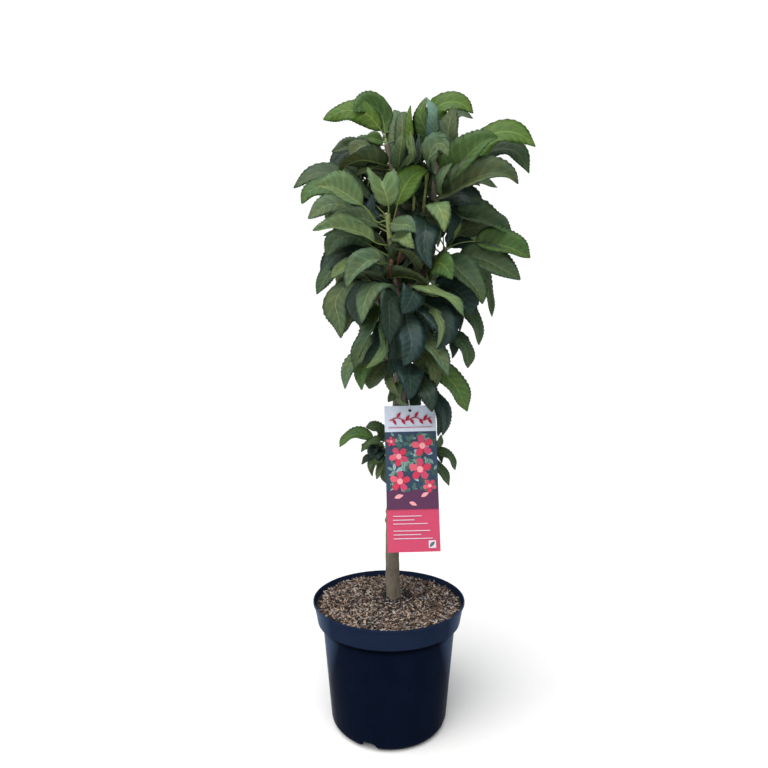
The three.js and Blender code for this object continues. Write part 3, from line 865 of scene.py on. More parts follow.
# %% The bark's finish
bark = Finish("apple_bark", Roughness=0.8)
long_grain = bark.cloud(230, 5, 0.62, bark.place((1, 1, 0.16)))
patches = bark.cloud(26, 3, 0.5)
dots = bark.cells(240, bark.place((1, 1, 0.75)))
tone = bark.mix(patches.clear_of(0.3, 0.7), paint(92, 82, 69), paint(117, 108, 94))
tone = bark.mix(long_grain.clear_of(0.52, 0.72), tone, paint(69, 60, 51))
tone = bark.mix(dots.clear_of(0.22, 0.12) * 0.6, tone, paint(144, 134, 118))
bark.colour(tone)
bark.relief(long_grain * 0.8 + dots.clear_of(0.25, 0.1) * 0.6, 0.0006, 0.8)
fused.data.materials.append(bark.material)
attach(fused, "root")
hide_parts("trunk", *BOUGHS)
print("bark:", count(fused), "triangles")

# %% [markdown]
# ## One leaf
#
# An apple leaf is a firm oval blade with a saw-toothed edge. It folds up from its
# midrib like an open book, arches over, and is quilted between nine or so pairs of
# side veins. A flat card with a cut-out would show its trick from the side, and one
# leaf copied would show in the outline. So each blade is a mesh of its own along the
# line of its midrib. Its rows follow the side veins, sloping forward from the midrib
# to the edge, so the quilting and the teeth fall on the mesh itself. Each blade is
# closed: an upper and a lower skin share the edge.

# %% The leaf's pattern of faces
VEIN_PAIRS = 9
VEIN_SLOPE = 0.17  # how far a side vein runs forward, as a share of the blade
TOOTH = 0.0009
THICKNESS = 0.0004
QUILTING = 0.0011  # how high a blade of the usual width swells between its veins
USUAL_WIDTH = 0.05
LEAST_HALF = 0.0004  # half of the width at the very ends


class BladePattern:
    """How the faces of a blade join up, whatever its shape."""

    def __init__(self, rows, half_columns, teeth):
        self.rows, self.half_columns = rows, half_columns
        keys, self.faces, self.is_upper = {}, [], []
        notches = [k / (2 * teeth) for k in range(1, 2 * teeth)]  # points and hollows within a row

        def key(*name):
            return keys.setdefault(name, len(keys))

        for upper in (True, False):
            def at(row, column):
                return key(row, column, upper or abs(column) == half_columns)
            for row in range(rows):
                for column in range(-half_columns, half_columns):
                    face = [at(row, column), at(row, column + 1),
                            at(row + 1, column + 1), at(row + 1, column)]
                    if column + 1 == half_columns:
                        face[2:2] = [key(row + k, half_columns, True) for k in notches]
                    if column == -half_columns:
                        face += [key(row + k, -half_columns, True) for k in notches[::-1]]
                        face = face[1:] + face[:1]  # so that its triangles fan out from inside
                    for k in range(1, len(face) - 1):  # the same triangles above and below
                        piece = [face[0], face[k], face[k + 1]]
                        self.faces.append(piece if upper else piece[::-1])
                        self.is_upper.append(upper)
        for row in (0, rows):
            cap = [key(row, c, True) for c in range(-half_columns, half_columns + 1)]
            cap += [key(row, c, False) for c in range(half_columns - 1, -half_columns, -1)]
            self.faces.append(cap[::-1] if row == 0 else cap)
            self.is_upper.append(True)
        self.row = np.array([k[0] for k in keys], dtype=float)
        self.side = np.array([k[1] for k in keys], dtype=float) / half_columns
        self.on_top = np.array([k[2] for k in keys])
        self.is_point = (self.row * 2 * teeth) % 2 > 0.5  # the point of a tooth


FULL_BLADE = BladePattern(2 * VEIN_PAIRS, 3, 1)  # for the few that make the crown's outline
LEAN_BLADE = BladePattern(VEIN_PAIRS, 2, 2)  # for the many that fill it
print("faces of a blade:", len(FULL_BLADE.faces), "or", len(LEAN_BLADE.faces))


# %% What a leaf is
class Leaf(NamedTuple):
    """A leaf by the line of its midrib as seen from the front, and how it is held.

    Its lengths are in millimetres. Show and fold may change along it, as (first, last).
    """
    path: list  # (across, up, depth) of points on the way from the shoot to the tip
    stalk: float  # length of the bare part
    width: float
    show: float  # degrees that its upper side turns to the front: 90 faces it, below 0 it faces away
    tint: str
    at: float  # share along its shoot
    under: str = ""  # tint of the lower side, where it isn't the usual one
    fold: float = 18  # degrees that each half lifts
    top: str = "up"  # where the upper side looks when it isn't turned to the front


MILLIMETRES = 1000  # to a metre
WAYS = {"up": (0, 0, 1), "left": (-1, 0, 0), "right": (1, 0, 0)}
LINE_STEPS = 32  # of a stalk and midrib


# %% Directions and lines of a leaf
def unit(vector):
    """The same direction with a length of one."""
    vector = np.asarray(vector, dtype=float)
    return vector / (np.linalg.norm(vector) + TINY)


def square_to(vector, axis):
    """The part of vector at right angles to axis, as a unit vector."""
    vector = np.asarray(vector, dtype=float)
    return unit(vector - axis * vector.dot(axis))


def evenly(line):
    """The same line with its points evenly spaced, and its length."""
    walked = np.concatenate([[0], np.cumsum(np.linalg.norm(np.diff(line, axis=0), axis=1))])
    even = np.linspace(0, walked[-1], LINE_STEPS + 1)
    return np.stack([np.interp(even, walked, line[:, k]) for k in range(3)], axis=1), walked[-1]


def arched_line(root, tip, rise, late):
    """Stalk and midrib from root to tip, arching up out of the straight by rise."""
    chord = tip - root
    out = square_to(WAYS["up"], unit(chord)) * rise / 0.75
    first = root + chord * 0.30 + out * 2 * (1 - late)
    second = root + chord * 0.74 + out * 2 * late
    t = np.linspace(0, 1, 4 * LINE_STEPS)[:, None]
    return evenly((1 - t) ** 3 * root + 3 * (1 - t) ** 2 * t * first
                  + 3 * (1 - t) * t * t * second + t ** 3 * tip)


def fixed_faces(line, face):
    """The upper side's direction along a leaf whose upper side looks one way."""
    ahead = ways_ahead(line)
    faces = face - ahead * (ahead @ face)[:, None]
    return faces / (np.linalg.norm(faces, axis=1)[:, None] + TINY)


def first_and_last(value):
    """A measure that changes along a blade may be given as its first and last values."""
    return value if isinstance(value, tuple) else (value, value)


def carried_faces(line, stalk_share, show, top):
    """The upper side's direction along a leaf that is held by show and top at its middle."""
    first, last = first_and_last(show)
    ahead = ways_ahead(line)
    middle = round((len(line) - 1) * (0.5 + 0.5 * stalk_share))
    to_viewer = square_to(np.array(CAMERA_PLACE) - line[middle], ahead[middle])
    outer = np.cross(ahead[middle], to_viewer)
    hand = math.copysign(1, outer.dot(WAYS[top]))
    outer *= hand
    turn = math.radians((first + last) / 2)
    faces = np.zeros_like(line)
    faces[middle] = math.sin(turn) * to_viewer + math.cos(turn) * outer
    for step, stop in ((1, len(line)), (-1, -1)):
        for k in range(middle + step, stop, step):
            faces[k] = square_to(faces[k - step], ahead[k])
    share = np.clip((np.linspace(0, 1, len(line)) - stalk_share) / (1 - stalk_share), 0, 1)
    twist = -hand * np.radians((last - first) * (share - 0.5))[:, None]
    return faces * np.cos(twist) + np.cross(ahead, faces) * np.sin(twist)


# %% The points of a blade
REAR, FORE = 0.56, 0.74  # how bluntly the blade ends at the stalk and at the tip
POINTED = 0.24  # share of the blade that is drawn out into a point


def half_width(share):
    """Half of the blade's width along it, as a share of the widest."""
    share = np.clip(share, 0, 1)
    peak = (REAR / (REAR + FORE)) ** REAR * (FORE / (REAR + FORE)) ** FORE
    drawn_out = 1 - 0.3 * np.clip((share - (1 - POINTED)) / POINTED, 0, 1) ** 2
    return share ** REAR * (1 - share) ** FORE / peak * drawn_out


def blade_points(pattern, line, faces, start, width, fold, curl, wave, phase):
    """Points of one blade along the part of its midrib line after start, and its own map."""
    steps = len(line) - 1
    ahead = ways_ahead(line)
    t = pattern.row / pattern.rows
    side = np.abs(pattern.side)
    along = t + VEIN_SLOPE * side * 4 * t * (1 - t)
    place = (start + (1 - start) * along) * steps
    low = np.clip(place.astype(int), 0, steps - 1)
    part = (place - low)[:, None]
    middle = line[low] * (1 - part) + line[low + 1] * part
    up = faces[low] * (1 - part) + faces[low + 1] * part
    fore = ahead[low] * (1 - part) + ahead[low + 1] * part
    across = np.cross(fore, up)
    across /= np.linalg.norm(across, axis=1)[:, None] + TINY
    full = half_width(along)
    half = width / 2 * full + LEAST_HALF
    uneven = 1 + 0.5 * np.sin(37 * pattern.row + phase + pattern.side)
    out = side * half
    on_edge = side > 0.99
    out += on_edge * (0.3 + 0.7 * full) * np.where(pattern.is_point, uneven, -0.6) * TOOTH
    first, last = first_and_last(fold)
    angle = np.radians(first + (last - first) * t)
    lift = out * np.sin(angle) - curl * half * side ** 2.6
    lift += wave * half * side ** 2 * np.sin(10.7 * t + phase + (pattern.side > 0) * 1.9)
    between_veins = (t * VEIN_PAIRS) % 1 > 0.2
    lift += QUILTING * between_veins * np.sin(math.pi * np.minimum(side * 1.08, 1)) * (width / USUAL_WIDTH)
    lift -= np.where(pattern.on_top, 0, THICKNESS)
    spread = np.sign(pattern.side) * out * np.cos(angle)
    points = middle + across * spread[:, None] + up * lift[:, None]
    points += fore * (pattern.is_point * on_edge * TOOTH)[:, None]
    return points, np.stack([0.5 + 0.5 * pattern.side, t], axis=1)


# %% [markdown]
# ## The leaves' colours
#
# Young leaves at the shoot tips are yellow-green, the ones they shade are deep and
# bluish, and the felted underside is paler and duller. The tints also carry painted
# light and shade: the bright tint and the paler undersides are partly painted light,
# the deep and blue tints and the olive undersides partly painted shade, and the blue
# and the pale blue-grey tints a painted sheen of the sky on the wax. A random tint on
# every leaf would mix these up, so each tint is its own finish and goes on whole leaves
# where it belongs. Within a leaf the finish adds paler veins and darker fields between
# them, painted shade of the quilting, which follow the blade's own map, a bluer edge
# that is a painted rim sheen, and two scales of mottling.

# %% Leaf finishes
# the bright tint is partly painted light, the deep and blue tints partly painted shade, and the blue and
# pale blue-grey tints a painted sheen
TINTS = {
    "bright": paint(80, 107, 36), "fresh": paint(73, 99, 47), "mid": paint(62, 81, 50),
    "deep": paint(38, 54, 42), "blue": paint(36, 55, 49), "pale": paint(102, 123, 78),
    "sage": paint(88, 107, 74), "olive": paint(80, 93, 60), "mist": paint(108, 138, 122),
}
# paler undersides go below lit tints and olive below shaded ones: partly painted light and painted shade
UNDERSIDE = {"bright": "fresh", "fresh": "sage", "mid": "olive", "deep": "olive", "blue": "olive",
             "pale": "sage"}  # any other tint has the same below
GLOSS = {"bright": 0.50, "fresh": 0.48, "mid": 0.44, "deep": 0.38, "blue": 0.34, "pale": 0.60,
         "sage": 0.62, "olive": 0.60, "mist": 0.50}


def shifted(colour, red, green, blue, more=0.0):
    """A colour with each of its three parts scaled, and a little added."""
    return tuple(min(1, part * scale + more) for part, scale in zip(colour, (red, green, blue))) + (1,)


def leaf_finish(name, tint, gloss):
    """Green, warmer along the midrib and bluer at the edge as a painted rim sheen, with paler veins, darker
    fields between them as painted shade, and a mottle.
    """
    leaf = Finish(name, Specular_IOR_Level=0.22, Specular_Tint=(0.8, 0.93, 1.0, 1))
    across, along = leaf.leaf_map()
    from_rib = (across - 0.5).size()
    row = (along * VEIN_PAIRS).frac()
    beside_vein = (row - 0.5).size()
    vein = beside_vein.clear_of(0.36, 0.49) * from_rib.clear_of(0.5, 0.38)
    rib = from_rib.clear_of(0.035, 0.012)
    mottle = leaf.cloud(110, 4, 0.65)
    patches = leaf.cloud(24, 2)
    warm, cool = shifted(tint, 1.22, 1.04, 0.8), shifted(tint, 0.82, 0.96, 1.12)
    tone = leaf.mix(patches.clear_of(0.35, 0.65), warm, cool)
    # painted sheen: the blade turns bluer towards its edge, a rim highlight painted into the colour
    tone = leaf.mix(from_rib * from_rib * 2.4, tone, shifted(tint, 0.86, 1.0, 1.3, 0.004))
    tone = leaf.mix(mottle.clear_of(0.6, 0.3) * 0.7, tone, shifted(tint, 0.6, 0.64, 0.62))
    # painted shade: darker fields midway between the veins, for the quilted look
    tone = leaf.mix(beside_vein.clear_of(0.3, 0.0) * 0.36, tone, shifted(tint, 0.6, 0.68, 0.7))
    tone = leaf.mix(vein * (0.16 + mottle * 0.3) + rib * 0.72, tone, shifted(tint, 1.7, 1.55, 1.5, 0.014))
    leaf.colour(tone)
    leaf.rough(gloss + mottle * 0.16)
    leaf.relief(mottle * 0.4 - vein * 0.6 + leaf.cloud(700, 2) * 0.25, 0.0006, 0.6)
    return leaf.material


leaf_finishes = [leaf_finish("leaf_" + name, tint, GLOSS[name]) for name, tint in TINTS.items()]
TINT_NUMBER = {name: number for number, name in enumerate(TINTS)}
print("leaf finishes:", len(leaf_finishes))

# %% Finishes of stalks, twigs and buds
TWIG_COLOURS = {  # roughness, patches to a metre, their detail, light and dark
    "leaf_stalk": (0.55, 60, 3, paint(126, 146, 78), paint(104, 124, 62)),
    "shaded_leaf_stalk": (0.6, 60, 3, paint(78, 92, 62), paint(58, 72, 52)),
    "green_wood": (0.6, 120, 4, paint(150, 158, 96), paint(110, 122, 70)),
    "young_bark": (0.7, 150, 4, paint(112, 92, 84), paint(74, 60, 58)),
    "bud_scale": (0.65, 300, 3, paint(132, 96, 64), paint(88, 58, 46)),
}
STALK, SHADED, GREEN, BROWN, BUD = range(len(TWIG_COLOURS))
twig_finishes = []
for name, (roughness, scale, detail, light, dark) in TWIG_COLOURS.items():
    wood_skin = Finish(name, Roughness=roughness)
    wood_skin.colour(wood_skin.mix(wood_skin.cloud(scale, detail), light, dark))
    if name == "young_bark":
        wood_skin.relief(wood_skin.cloud(500, 3), 0.0006, 0.6)
    twig_finishes.append(wood_skin.material)
print("twig finishes:", len(twig_finishes))

# %% [markdown]
# ## Shoots and their leaves
#
# Leaves sit along short shoots that carry on from the ends of the boughs. Scattering
# them over the wood would fill the crown, but not with the outline and the few large
# front leaves that this tree is known by. So most shoots have leading leaves that
# are placed one by one. Each is given by the line of its midrib as seen from the
# front, by how far its upper side turns to the front, and by its two tints.

# %% The shoots
class Shoot(NamedTuple):
    """A short shoot and how many leaves fill it up."""
    line: list
    radius: float  # at its root
    finish: int
    fill: int
    tier: str  # the piece that its leaves go to


SHOOTS = {
    "top_left": Shoot([(0.006, 0, 0.944), (-0.003, 0, 0.984), (-0.006, -0.001, 0.998)], 0.0036, GREEN, 6,
        "top"),
    "top_middle": Shoot([(0.012, -0.002, 0.921), (0.016, -0.022, 0.930), (0.020, -0.038, 0.946)], 0.003,
        GREEN, 3, "top"),
    "top_right": Shoot([(0.075, -0.012, 0.892), (0.080, -0.012, 0.925), (0.084, -0.008, 0.965)], 0.004,
        BROWN, 9, "top"),
    "right_stem": Shoot([(0.060, -0.012, 0.862), (0.074, -0.016, 0.884)], 0.004, BROWN, 5, "upper"),
    "right": Shoot([(0.080, -0.009, 0.788), (0.098, -0.012, 0.806)], 0.0034, BROWN, 7, "upper"),
    "front": Shoot([(0.004, -0.046, 0.796), (0.001, -0.058, 0.812), (-0.002, -0.068, 0.838),
        (-0.001, -0.072, 0.846)], 0.0046, GREEN, 4, "upper"),
    "front_low": Shoot([(0.010, -0.018, 0.768), (0.007, -0.034, 0.782)], 0.004, BROWN, 4, "upper"),
    "left": Shoot([(0.012, -0.006, 0.716), (0.000, -0.028, 0.722), (-0.018, -0.042, 0.712)], 0.0036,
        BROWN, 5, "mid"),
    "front_spur": Shoot([(0.024, -0.030, 0.690), (0.028, -0.060, 0.706), (0.022, -0.070, 0.716)], 0.0034,
        BROWN, 2, "mid"),
    "right_front": Shoot([(0.018, -0.006, 0.706), (0.040, -0.026, 0.722), (0.062, -0.042, 0.740)], 0.0036,
        BROWN, 5, "mid"),
    "right_spur": Shoot([(0.020, -0.004, 0.640), (0.038, -0.030, 0.652), (0.048, -0.050, 0.664)], 0.0032,
        BROWN, 4, "low"),
    "low_right": Shoot([(0.060, -0.014, 0.584), (0.074, -0.018, 0.600), (0.078, -0.022, 0.612)], 0.003,
        BROWN, 4, "low"),
    "low_front": Shoot([(0.020, -0.004, 0.590), (0.030, -0.030, 0.600), (0.036, -0.044, 0.612)], 0.003,
        BROWN, 1, "low"),
    "low_left": Shoot([(0.016, -0.004, 0.604), (-0.004, -0.020, 0.612), (-0.014, -0.030, 0.620)], 0.003,
        BROWN, 3, "low"),
    "whorl_left": Shoot([(-0.008, 0.006, 0.458), (-0.020, 0.008, 0.461)], 0.0026, BROWN, 4, "whorl"),
    "whorl_right": Shoot([(0.054, 0.010, 0.456), (0.067, 0.012, 0.459)], 0.0026, BROWN, 3, "whorl"),
    "top_back": Shoot([(0.026, 0.056, 0.930), (0.026, 0.066, 0.950)], 0.004, GREEN, 18, "top"),
    "upper_back": Shoot([(0.022, 0.004, 0.868), (0.056, 0.046, 0.890), (0.078, 0.066, 0.904)], 0.004,
        BROWN, 18, "upper"),
    "upper_left": Shoot([(0.010, 0.003, 0.902), (-0.034, 0.036, 0.918), (-0.050, 0.046, 0.930)], 0.004,
        BROWN, 16, "upper"),
    "back_left": Shoot([(-0.022, 0.054, 0.772), (-0.034, 0.070, 0.786)], 0.004, BROWN, 20, "mid"),
    "back_right": Shoot([(0.060, 0.054, 0.746), (0.074, 0.072, 0.762)], 0.004, BROWN, 20, "mid"),
    "mid_left": Shoot([(-0.030, -0.014, 0.724), (-0.044, -0.018, 0.736)], 0.004, BROWN, 11, "mid"),
    "low_back": Shoot([(0.020, 0.008, 0.640), (0.024, 0.040, 0.652), (0.026, 0.056, 0.662)], 0.004, BROWN,
        18, "low"),
    "whorl_back": Shoot([(0.016, 0.010, 0.454), (0.020, 0.036, 0.460)], 0.0026, BROWN, 7, "whorl"),
}
print("shoots:", len(SHOOTS))

# %% Leading leaves at the top
LEAVES = {}
LEAVES["top_left"] = [
    Leaf([(-29, 948, -30), (-57, 934, -40)], 14, 34, 15, "olive", 0.0),
    Leaf([(-19, 957, -25), (-47, 962, -38), (-74, 952, -46), (-88, 932, -48)], 12, 52, -32, "olive", 0.1,
         fold=22),
    Leaf([(-36, 972, 30), (-76, 974, 34), (-102, 941, 34)], 20, 46, 42, "deep", 0.2),
    Leaf([(-26, 983, -15), (-47, 986, -28), (-67, 965, -34)], 12, 44, 26, "olive", 0.35),
    Leaf([(-43, 983, 22), (-71, 985, 22), (-99, 976, 18)], 24, 36, 45, "mid", 0.45),
    Leaf([(-29, 988, 50), (-47, 995, 55), (-66, 986, 55)], 18, 28, 45, "sage", 0.6),
    Leaf([(-19, 997, -10), (-40, 1002, -16)], 8, 26, 55, "fresh", 0.7),
    Leaf([(-12, 1011, -6), (-26, 1030, -10), (-43, 1044, -14), (-76, 1048, -18), (-114, 1032, -20)], 16,
         42, 52, "bright", 0.9, under="sage", fold=-4),
    Leaf([(-8, 1021, 20), (-14, 1044, 20), (-29, 1056, 6), (-47, 1056, -14), (-60, 1045, -24)], 16, 52,
         (72, 26), "fresh", 1.0, fold=8),
]
LEAVES["top_middle"] = [
    Leaf([(52, 962, -60), (54, 983, -66), (52, 1007, -66)], 10, 20, -60, "deep", 0.2, under="deep",
         top="left"),
    Leaf([(40, 965, -70), (40, 986, -78), (38, 1011, -78)], 8, 17, -60, "sage", 0.4, top="left"),
    Leaf([(18, 965, -60), (21, 986, -84), (25, 1009, -88)], 4, 28, -68, "sage", 0.6, fold=16, top="left"),
    Leaf([(12, 979, 0), (12, 1014, 10), (14, 1035, 16), (9, 1049, 30)], 14, 34, 64, "sage", 0.75, fold=8,
         top="left"),
    Leaf([(23, 983, -20), (23, 1018, -22), (23, 1038, -14), (21, 1045, 4)], 12, 28, 66, "olive", 0.85,
         fold=12, top="left"),
    Leaf([(38, 997, -30), (37, 1028, -34), (38, 1057, -32)], 12, 22, 50, "bright", 1.0, under="pale",
         fold=34, top="left"),
]
LEAVES["top_right"] = [
    Leaf([(110, 898, -30), (130, 900, -38), (160, 887, -42)], 14, 50, 48, "deep", 0.0, fold=16),
    Leaf([(123, 915, -26), (155, 924, -34), (188, 914, -36)], 34, 34, 26, "mid", 0.08),
    Leaf([(110, 905, -60), (130, 919, -66), (158, 933, -78), (184, 939, -84), (207, 934, -84),
          (224, 920, -80)], 26, 66, 50, "olive", 0.12, under="sage", fold=42),
    Leaf([(134, 945, 0), (172, 976, 0), (207, 981, -4), (228, 969, -8), (243, 939, -10)], 46, 50, 40,
         "mid", 0.25, fold=12),
    Leaf([(85, 920, -70), (94, 939, -86), (110, 957, -90)], 8, 34, 60, "sage", 0.3, fold=10, top="left"),
    Leaf([(134, 962, -20), (165, 997, -24), (196, 1011, -30), (228, 1006, -34), (254, 985, -36)], 44, 58,
         42, "bright", 0.4, fold=6),
    Leaf([(99, 926, -40), (120, 950, -60), (144, 976, -76), (167, 995, -84), (189, 1001, -86)], 24, 68,
         55, "fresh", 0.45, fold=38),
    Leaf([(70, 960, -70), (78, 986, -90), (94, 990, -98), (103, 969, -100)], 14, 42, 42, "sage", 0.5,
         fold=12),
    Leaf([(68, 959, -84), (85, 981, -102)], 16, 8, 60, "mist", 0.55),
    Leaf([(103, 979, -44), (103, 1014, -58), (113, 1057, -60)], 10, 44, 62, "olive", 0.7, fold=14,
         top="left"),
    Leaf([(99, 1014, 10), (122, 1040, 10), (146, 1034, 8)], 24, 36, 42, "mid", 0.8),
    Leaf([(64, 1014, -40), (54, 1042, -46), (66, 1071, -46)], 12, 38, 58, "fresh", 0.85, fold=10,
         top="left"),
    Leaf([(78, 1024, -66), (77, 1049, -74), (66, 1071, -70)], 18, 24, -62, "mist", 0.9, fold=14,
         top="left"),
    Leaf([(82, 1031, -20), (85, 1054, -26), (108, 1063, -32), (130, 1058, -34), (146, 1043, -34)], 10, 48,
         44, "bright", 1.0, fold=10),
]
print("leading leaves so far:", sum(map(len, LEAVES.values())))

# %% Leading leaves of the upper crown, right
LEAVES["right_stem"] = [
    Leaf([(64, 844, -84), (61, 809, -100), (73, 773, -106)], 10, 46, 74, "blue", 0.0, fold=12,
         top="right"),
    Leaf([(82, 847, -66), (85, 830, -68), (85, 811, -66)], 10, 18, 50, "olive", 0.2, top="right"),
    Leaf([(106, 877, -30), (113, 853, -40), (101, 818, -44)], 12, 30, 58, "blue", 0.4, top="right"),
    Leaf([(106, 879, -24), (129, 867, -30), (156, 862, -36), (184, 847, -40), (214, 834, -44)], 40, 60,
         50, "mid", 0.8, fold=42),
    Leaf([(85, 882, -84), (94, 863, -100), (96, 837, -104)], 4, 38, 60, "pale", 1.0, fold=10,
         top="right"),
]
LEAVES["right"] = [
    Leaf([(151, 782, 6), (167, 755, 0), (174, 724, -4), (179, 690, -8)], 44, 32, 36, "mid", 0.0, fold=14,
         top="right"),
    Leaf([(106, 785, -40), (123, 769, -54), (141, 751, -64), (155, 733, -70), (162, 712, -72)], 18, 58,
         52, "mid", 0.15, fold=36, top="right"),
    Leaf([(115, 796, -22), (141, 795, -34), (169, 787, -46), (198, 772, -56), (228, 754, -60)], 34, 60,
         58, "mid", 0.3, fold=32),
    Leaf([(120, 816, -8), (139, 811, -12), (162, 794, -14)], 20, 30, 50, "blue", 0.5),
    Leaf([(118, 830, 0), (134, 842, 0), (155, 844, -4), (181, 835, -8)], 26, 42, 55, "olive", 0.65,
         fold=8),
    Leaf([(111, 827, -40), (120, 839, -46), (125, 853, -46)], 8, 15, 40, "pale", 0.8, top="left"),
    Leaf([(123, 818, -20), (155, 821, -30), (193, 814, -42), (221, 805, -48), (245, 792, -50)], 50, 62,
         55, "fresh", 1.0, fold=38),
]
print("leading leaves so far:", sum(map(len, LEAVES.values())))

# %% Leading leaves of the upper crown, front
LEAVES["front"] = [
    Leaf([(-22, 818, -62), (-45, 833, -64), (-76, 843, -68), (-104, 844, -70), (-132, 839, -70)], 30, 46,
         48, "pale", 0.1, fold=44),
    Leaf([(25, 830, -96), (33, 820, -108), (44, 809, -108)], 10, 28, 60, "pale", 0.3, top="right"),
    Leaf([(-15, 844, -54), (-41, 859, -56), (-74, 866, -58), (-100, 863, -58)], 22, 38, 42, "sage", 0.45,
         fold=20),
    Leaf([(-47, 865, -20), (-76, 882, -28), (-106, 884, -36), (-140, 860, -40)], 70, 44, 44, "sage", 0.5,
         fold=10),
    Leaf([(-40, 872, -10), (-67, 886, -14), (-99, 891, -18), (-123, 880, -20)], 44, 50, 40, "blue", 0.55,
         fold=12),
    Leaf([(19, 849, -90), (33, 849, -104), (47, 837, -108)], 8, 32, 50, "sage", 0.6),
    Leaf([(-54, 887, -14), (-92, 913, -18), (-121, 914, -22), (-140, 906, -26), (-151, 886, -26)], 80, 46,
         42, "fresh", 0.65, fold=6),
    Leaf([(-22, 854, -60), (-38, 877, -64), (-64, 895, -68), (-93, 913, -70), (-125, 918, -70)], 56, 60,
         56, "pale", 0.7, fold=40),
    Leaf([(-47, 906, 10), (-74, 929, 12), (-102, 939, 10), (-133, 937, 6), (-165, 913, 0)], 84, 48, 42,
         "mid", 0.75, fold=10),
    Leaf([(-29, 865, -40), (-31, 886, -36), (-29, 903, -30)], 20, 22, 60, "blue", 0.8, top="left"),
    Leaf([(-1, 886, -86), (-8, 910, -92), (-12, 922, -84), (-10, 922, -62), (-8, 910, -44)], 16, 60, 84,
         "pale", 0.95, under="pale", fold=(34, 74), top="left"),
    Leaf([(7, 854, -60), (16, 889, -60), (30, 920, -56), (47, 938, -54), (68, 943, -50)], 46, 54, 60,
         "bright", 1.0, fold=22),
]
LEAVES["front_low"] = [
    Leaf([(-36, 785, -10), (-67, 787, -14), (-93, 776, -18), (-109, 759, -22), (-125, 729, -24)], 56, 38,
         52, "mid", 0.0, fold=12),
    Leaf([(-33, 785, -40), (-64, 783, -46), (-83, 773, -48), (-100, 757, -48)], 60, 26, 55, "pale", 0.2),
    Leaf([(-47, 802, 0), (-78, 801, -8), (-102, 785, -14), (-116, 762, -18)], 50, 50, 48, "deep", 0.4,
         under="deep", fold=10),
    Leaf([(-47, 782, -84), (-67, 768, -92), (-76, 740, -94)], 40, 24, 40, "blue", 0.5),
    Leaf([(-14, 782, -80), (-29, 789, -90), (-48, 776, -102), (-64, 759, -106), (-73, 740, -106)], 34, 50,
         50, "sage", 0.7, fold=38),
    Leaf([(-40, 818, -24), (-66, 830, -32), (-90, 823, -38), (-109, 794, -40)], 44, 46, 48, "mid", 1.0,
         fold=12),
]
print("leading leaves so far:", sum(map(len, LEAVES.values())))

# %% Leading leaves in the middle
LEAVES["left"] = [
    Leaf([(-15, 749, -86), (-34, 735, -102), (-43, 709, -108), (-47, 679, -108)], 8, 46, 32, "sage", 0.3,
         fold=4, top="left"),
    Leaf([(-33, 747, -60), (-55, 726, -76), (-55, 698, -80), (-50, 674, -80)], 22, 42, 36, "deep", 0.3,
         under="blue", top="left"),
    Leaf([(-54, 749, -30), (-80, 738, -42), (-93, 714, -48), (-86, 683, -52), (-83, 653, -52)], 40, 50,
         48, "olive", 0.5, fold=8, top="left"),
    Leaf([(-40, 719, -16), (-60, 700, -24), (-78, 662, -28)], 36, 36, 42, "olive", 0.5, top="left"),
    Leaf([(-31, 665, -84), (-47, 639, -90), (-54, 620, -92), (-60, 599, -92)], 18, 40, 48, "mid", 0.8,
         fold=38, top="left"),
    Leaf([(-40, 636, -56), (-64, 611, -60), (-73, 591, -60), (-76, 565, -60)], 62, 26, 66, "sage", 0.9,
         top="left"),
    Leaf([(-22, 632, -50), (-40, 608, -54), (-47, 587, -56), (-47, 563, -56)], 50, 38, 50, "fresh", 0.9,
         top="left"),
    Leaf([(-8, 646, -94), (-14, 625, -102), (-26, 611, -102), (-40, 601, -102)], 40, 22, 40, "pale", 1.0,
         under="pale", fold=8, top="right"),
    Leaf([(-15, 650, -80), (-27, 627, -88), (-47, 605, -90)], 40, 28, 55, "deep", 1.0, top="left"),
]
LEAVES["front_spur"] = [
    Leaf([(9, 667, -70), (9, 629, -76), (2, 584, -80)], 30, 30, 60, "deep", 0.0, top="right"),
    Leaf([(32, 681, -90), (40, 641, -112), (26, 605, -116)], 20, 48, 74, "blue", 0.3, fold=12,
         top="right"),
    Leaf([(2, 719, -104), (1, 684, -114), (0, 643, -118)], 14, 44, 56, "deep", 0.9, fold=20, top="right"),
    Leaf([(42, 735, -100), (35, 714, -108), (23, 695, -108)], 12, 40, 72, "blue", 1.0, fold=12,
         top="right"),
]
LEAVES["right_front"] = [
    Leaf([(99, 716, -20), (120, 693, -22), (123, 664, -22)], 26, 26, 42, "deep", 0.2, top="right"),
    Leaf([(49, 722, 10), (64, 694, 8), (73, 648, 6)], 16, 44, 58, "deep", 0.3, top="right"),
    Leaf([(75, 703, -84), (92, 683, -100), (99, 662, -106), (84, 634, -106)], 10, 54, 58, "blue", 0.4,
         fold=16, top="right"),
    Leaf([(77, 700, -92), (89, 681, -108), (92, 660, -112), (82, 634, -112)], 14, 15, 66, "sage", 0.4,
         top="right"),
    Leaf([(117, 719, -4), (139, 696, -20), (153, 672, -26), (156, 641, -30)], 52, 38, 42, "mid", 0.6,
         fold=16, top="right"),
    Leaf([(64, 743, -88), (91, 730, -100), (117, 714, -106), (130, 691, -106)], 14, 46, 22, "pale", 0.8,
         under="pale", fold=8),
    Leaf([(89, 743, -40), (115, 735, -52), (136, 716, -58), (141, 693, -58)], 16, 58, 56, "blue", 0.9,
         fold=28),
    Leaf([(82, 782, -72), (99, 775, -92), (110, 755, -98)], 8, 44, 60, "fresh", 1.0, fold=10),
]
print("leading leaves so far:", sum(map(len, LEAVES.values())))

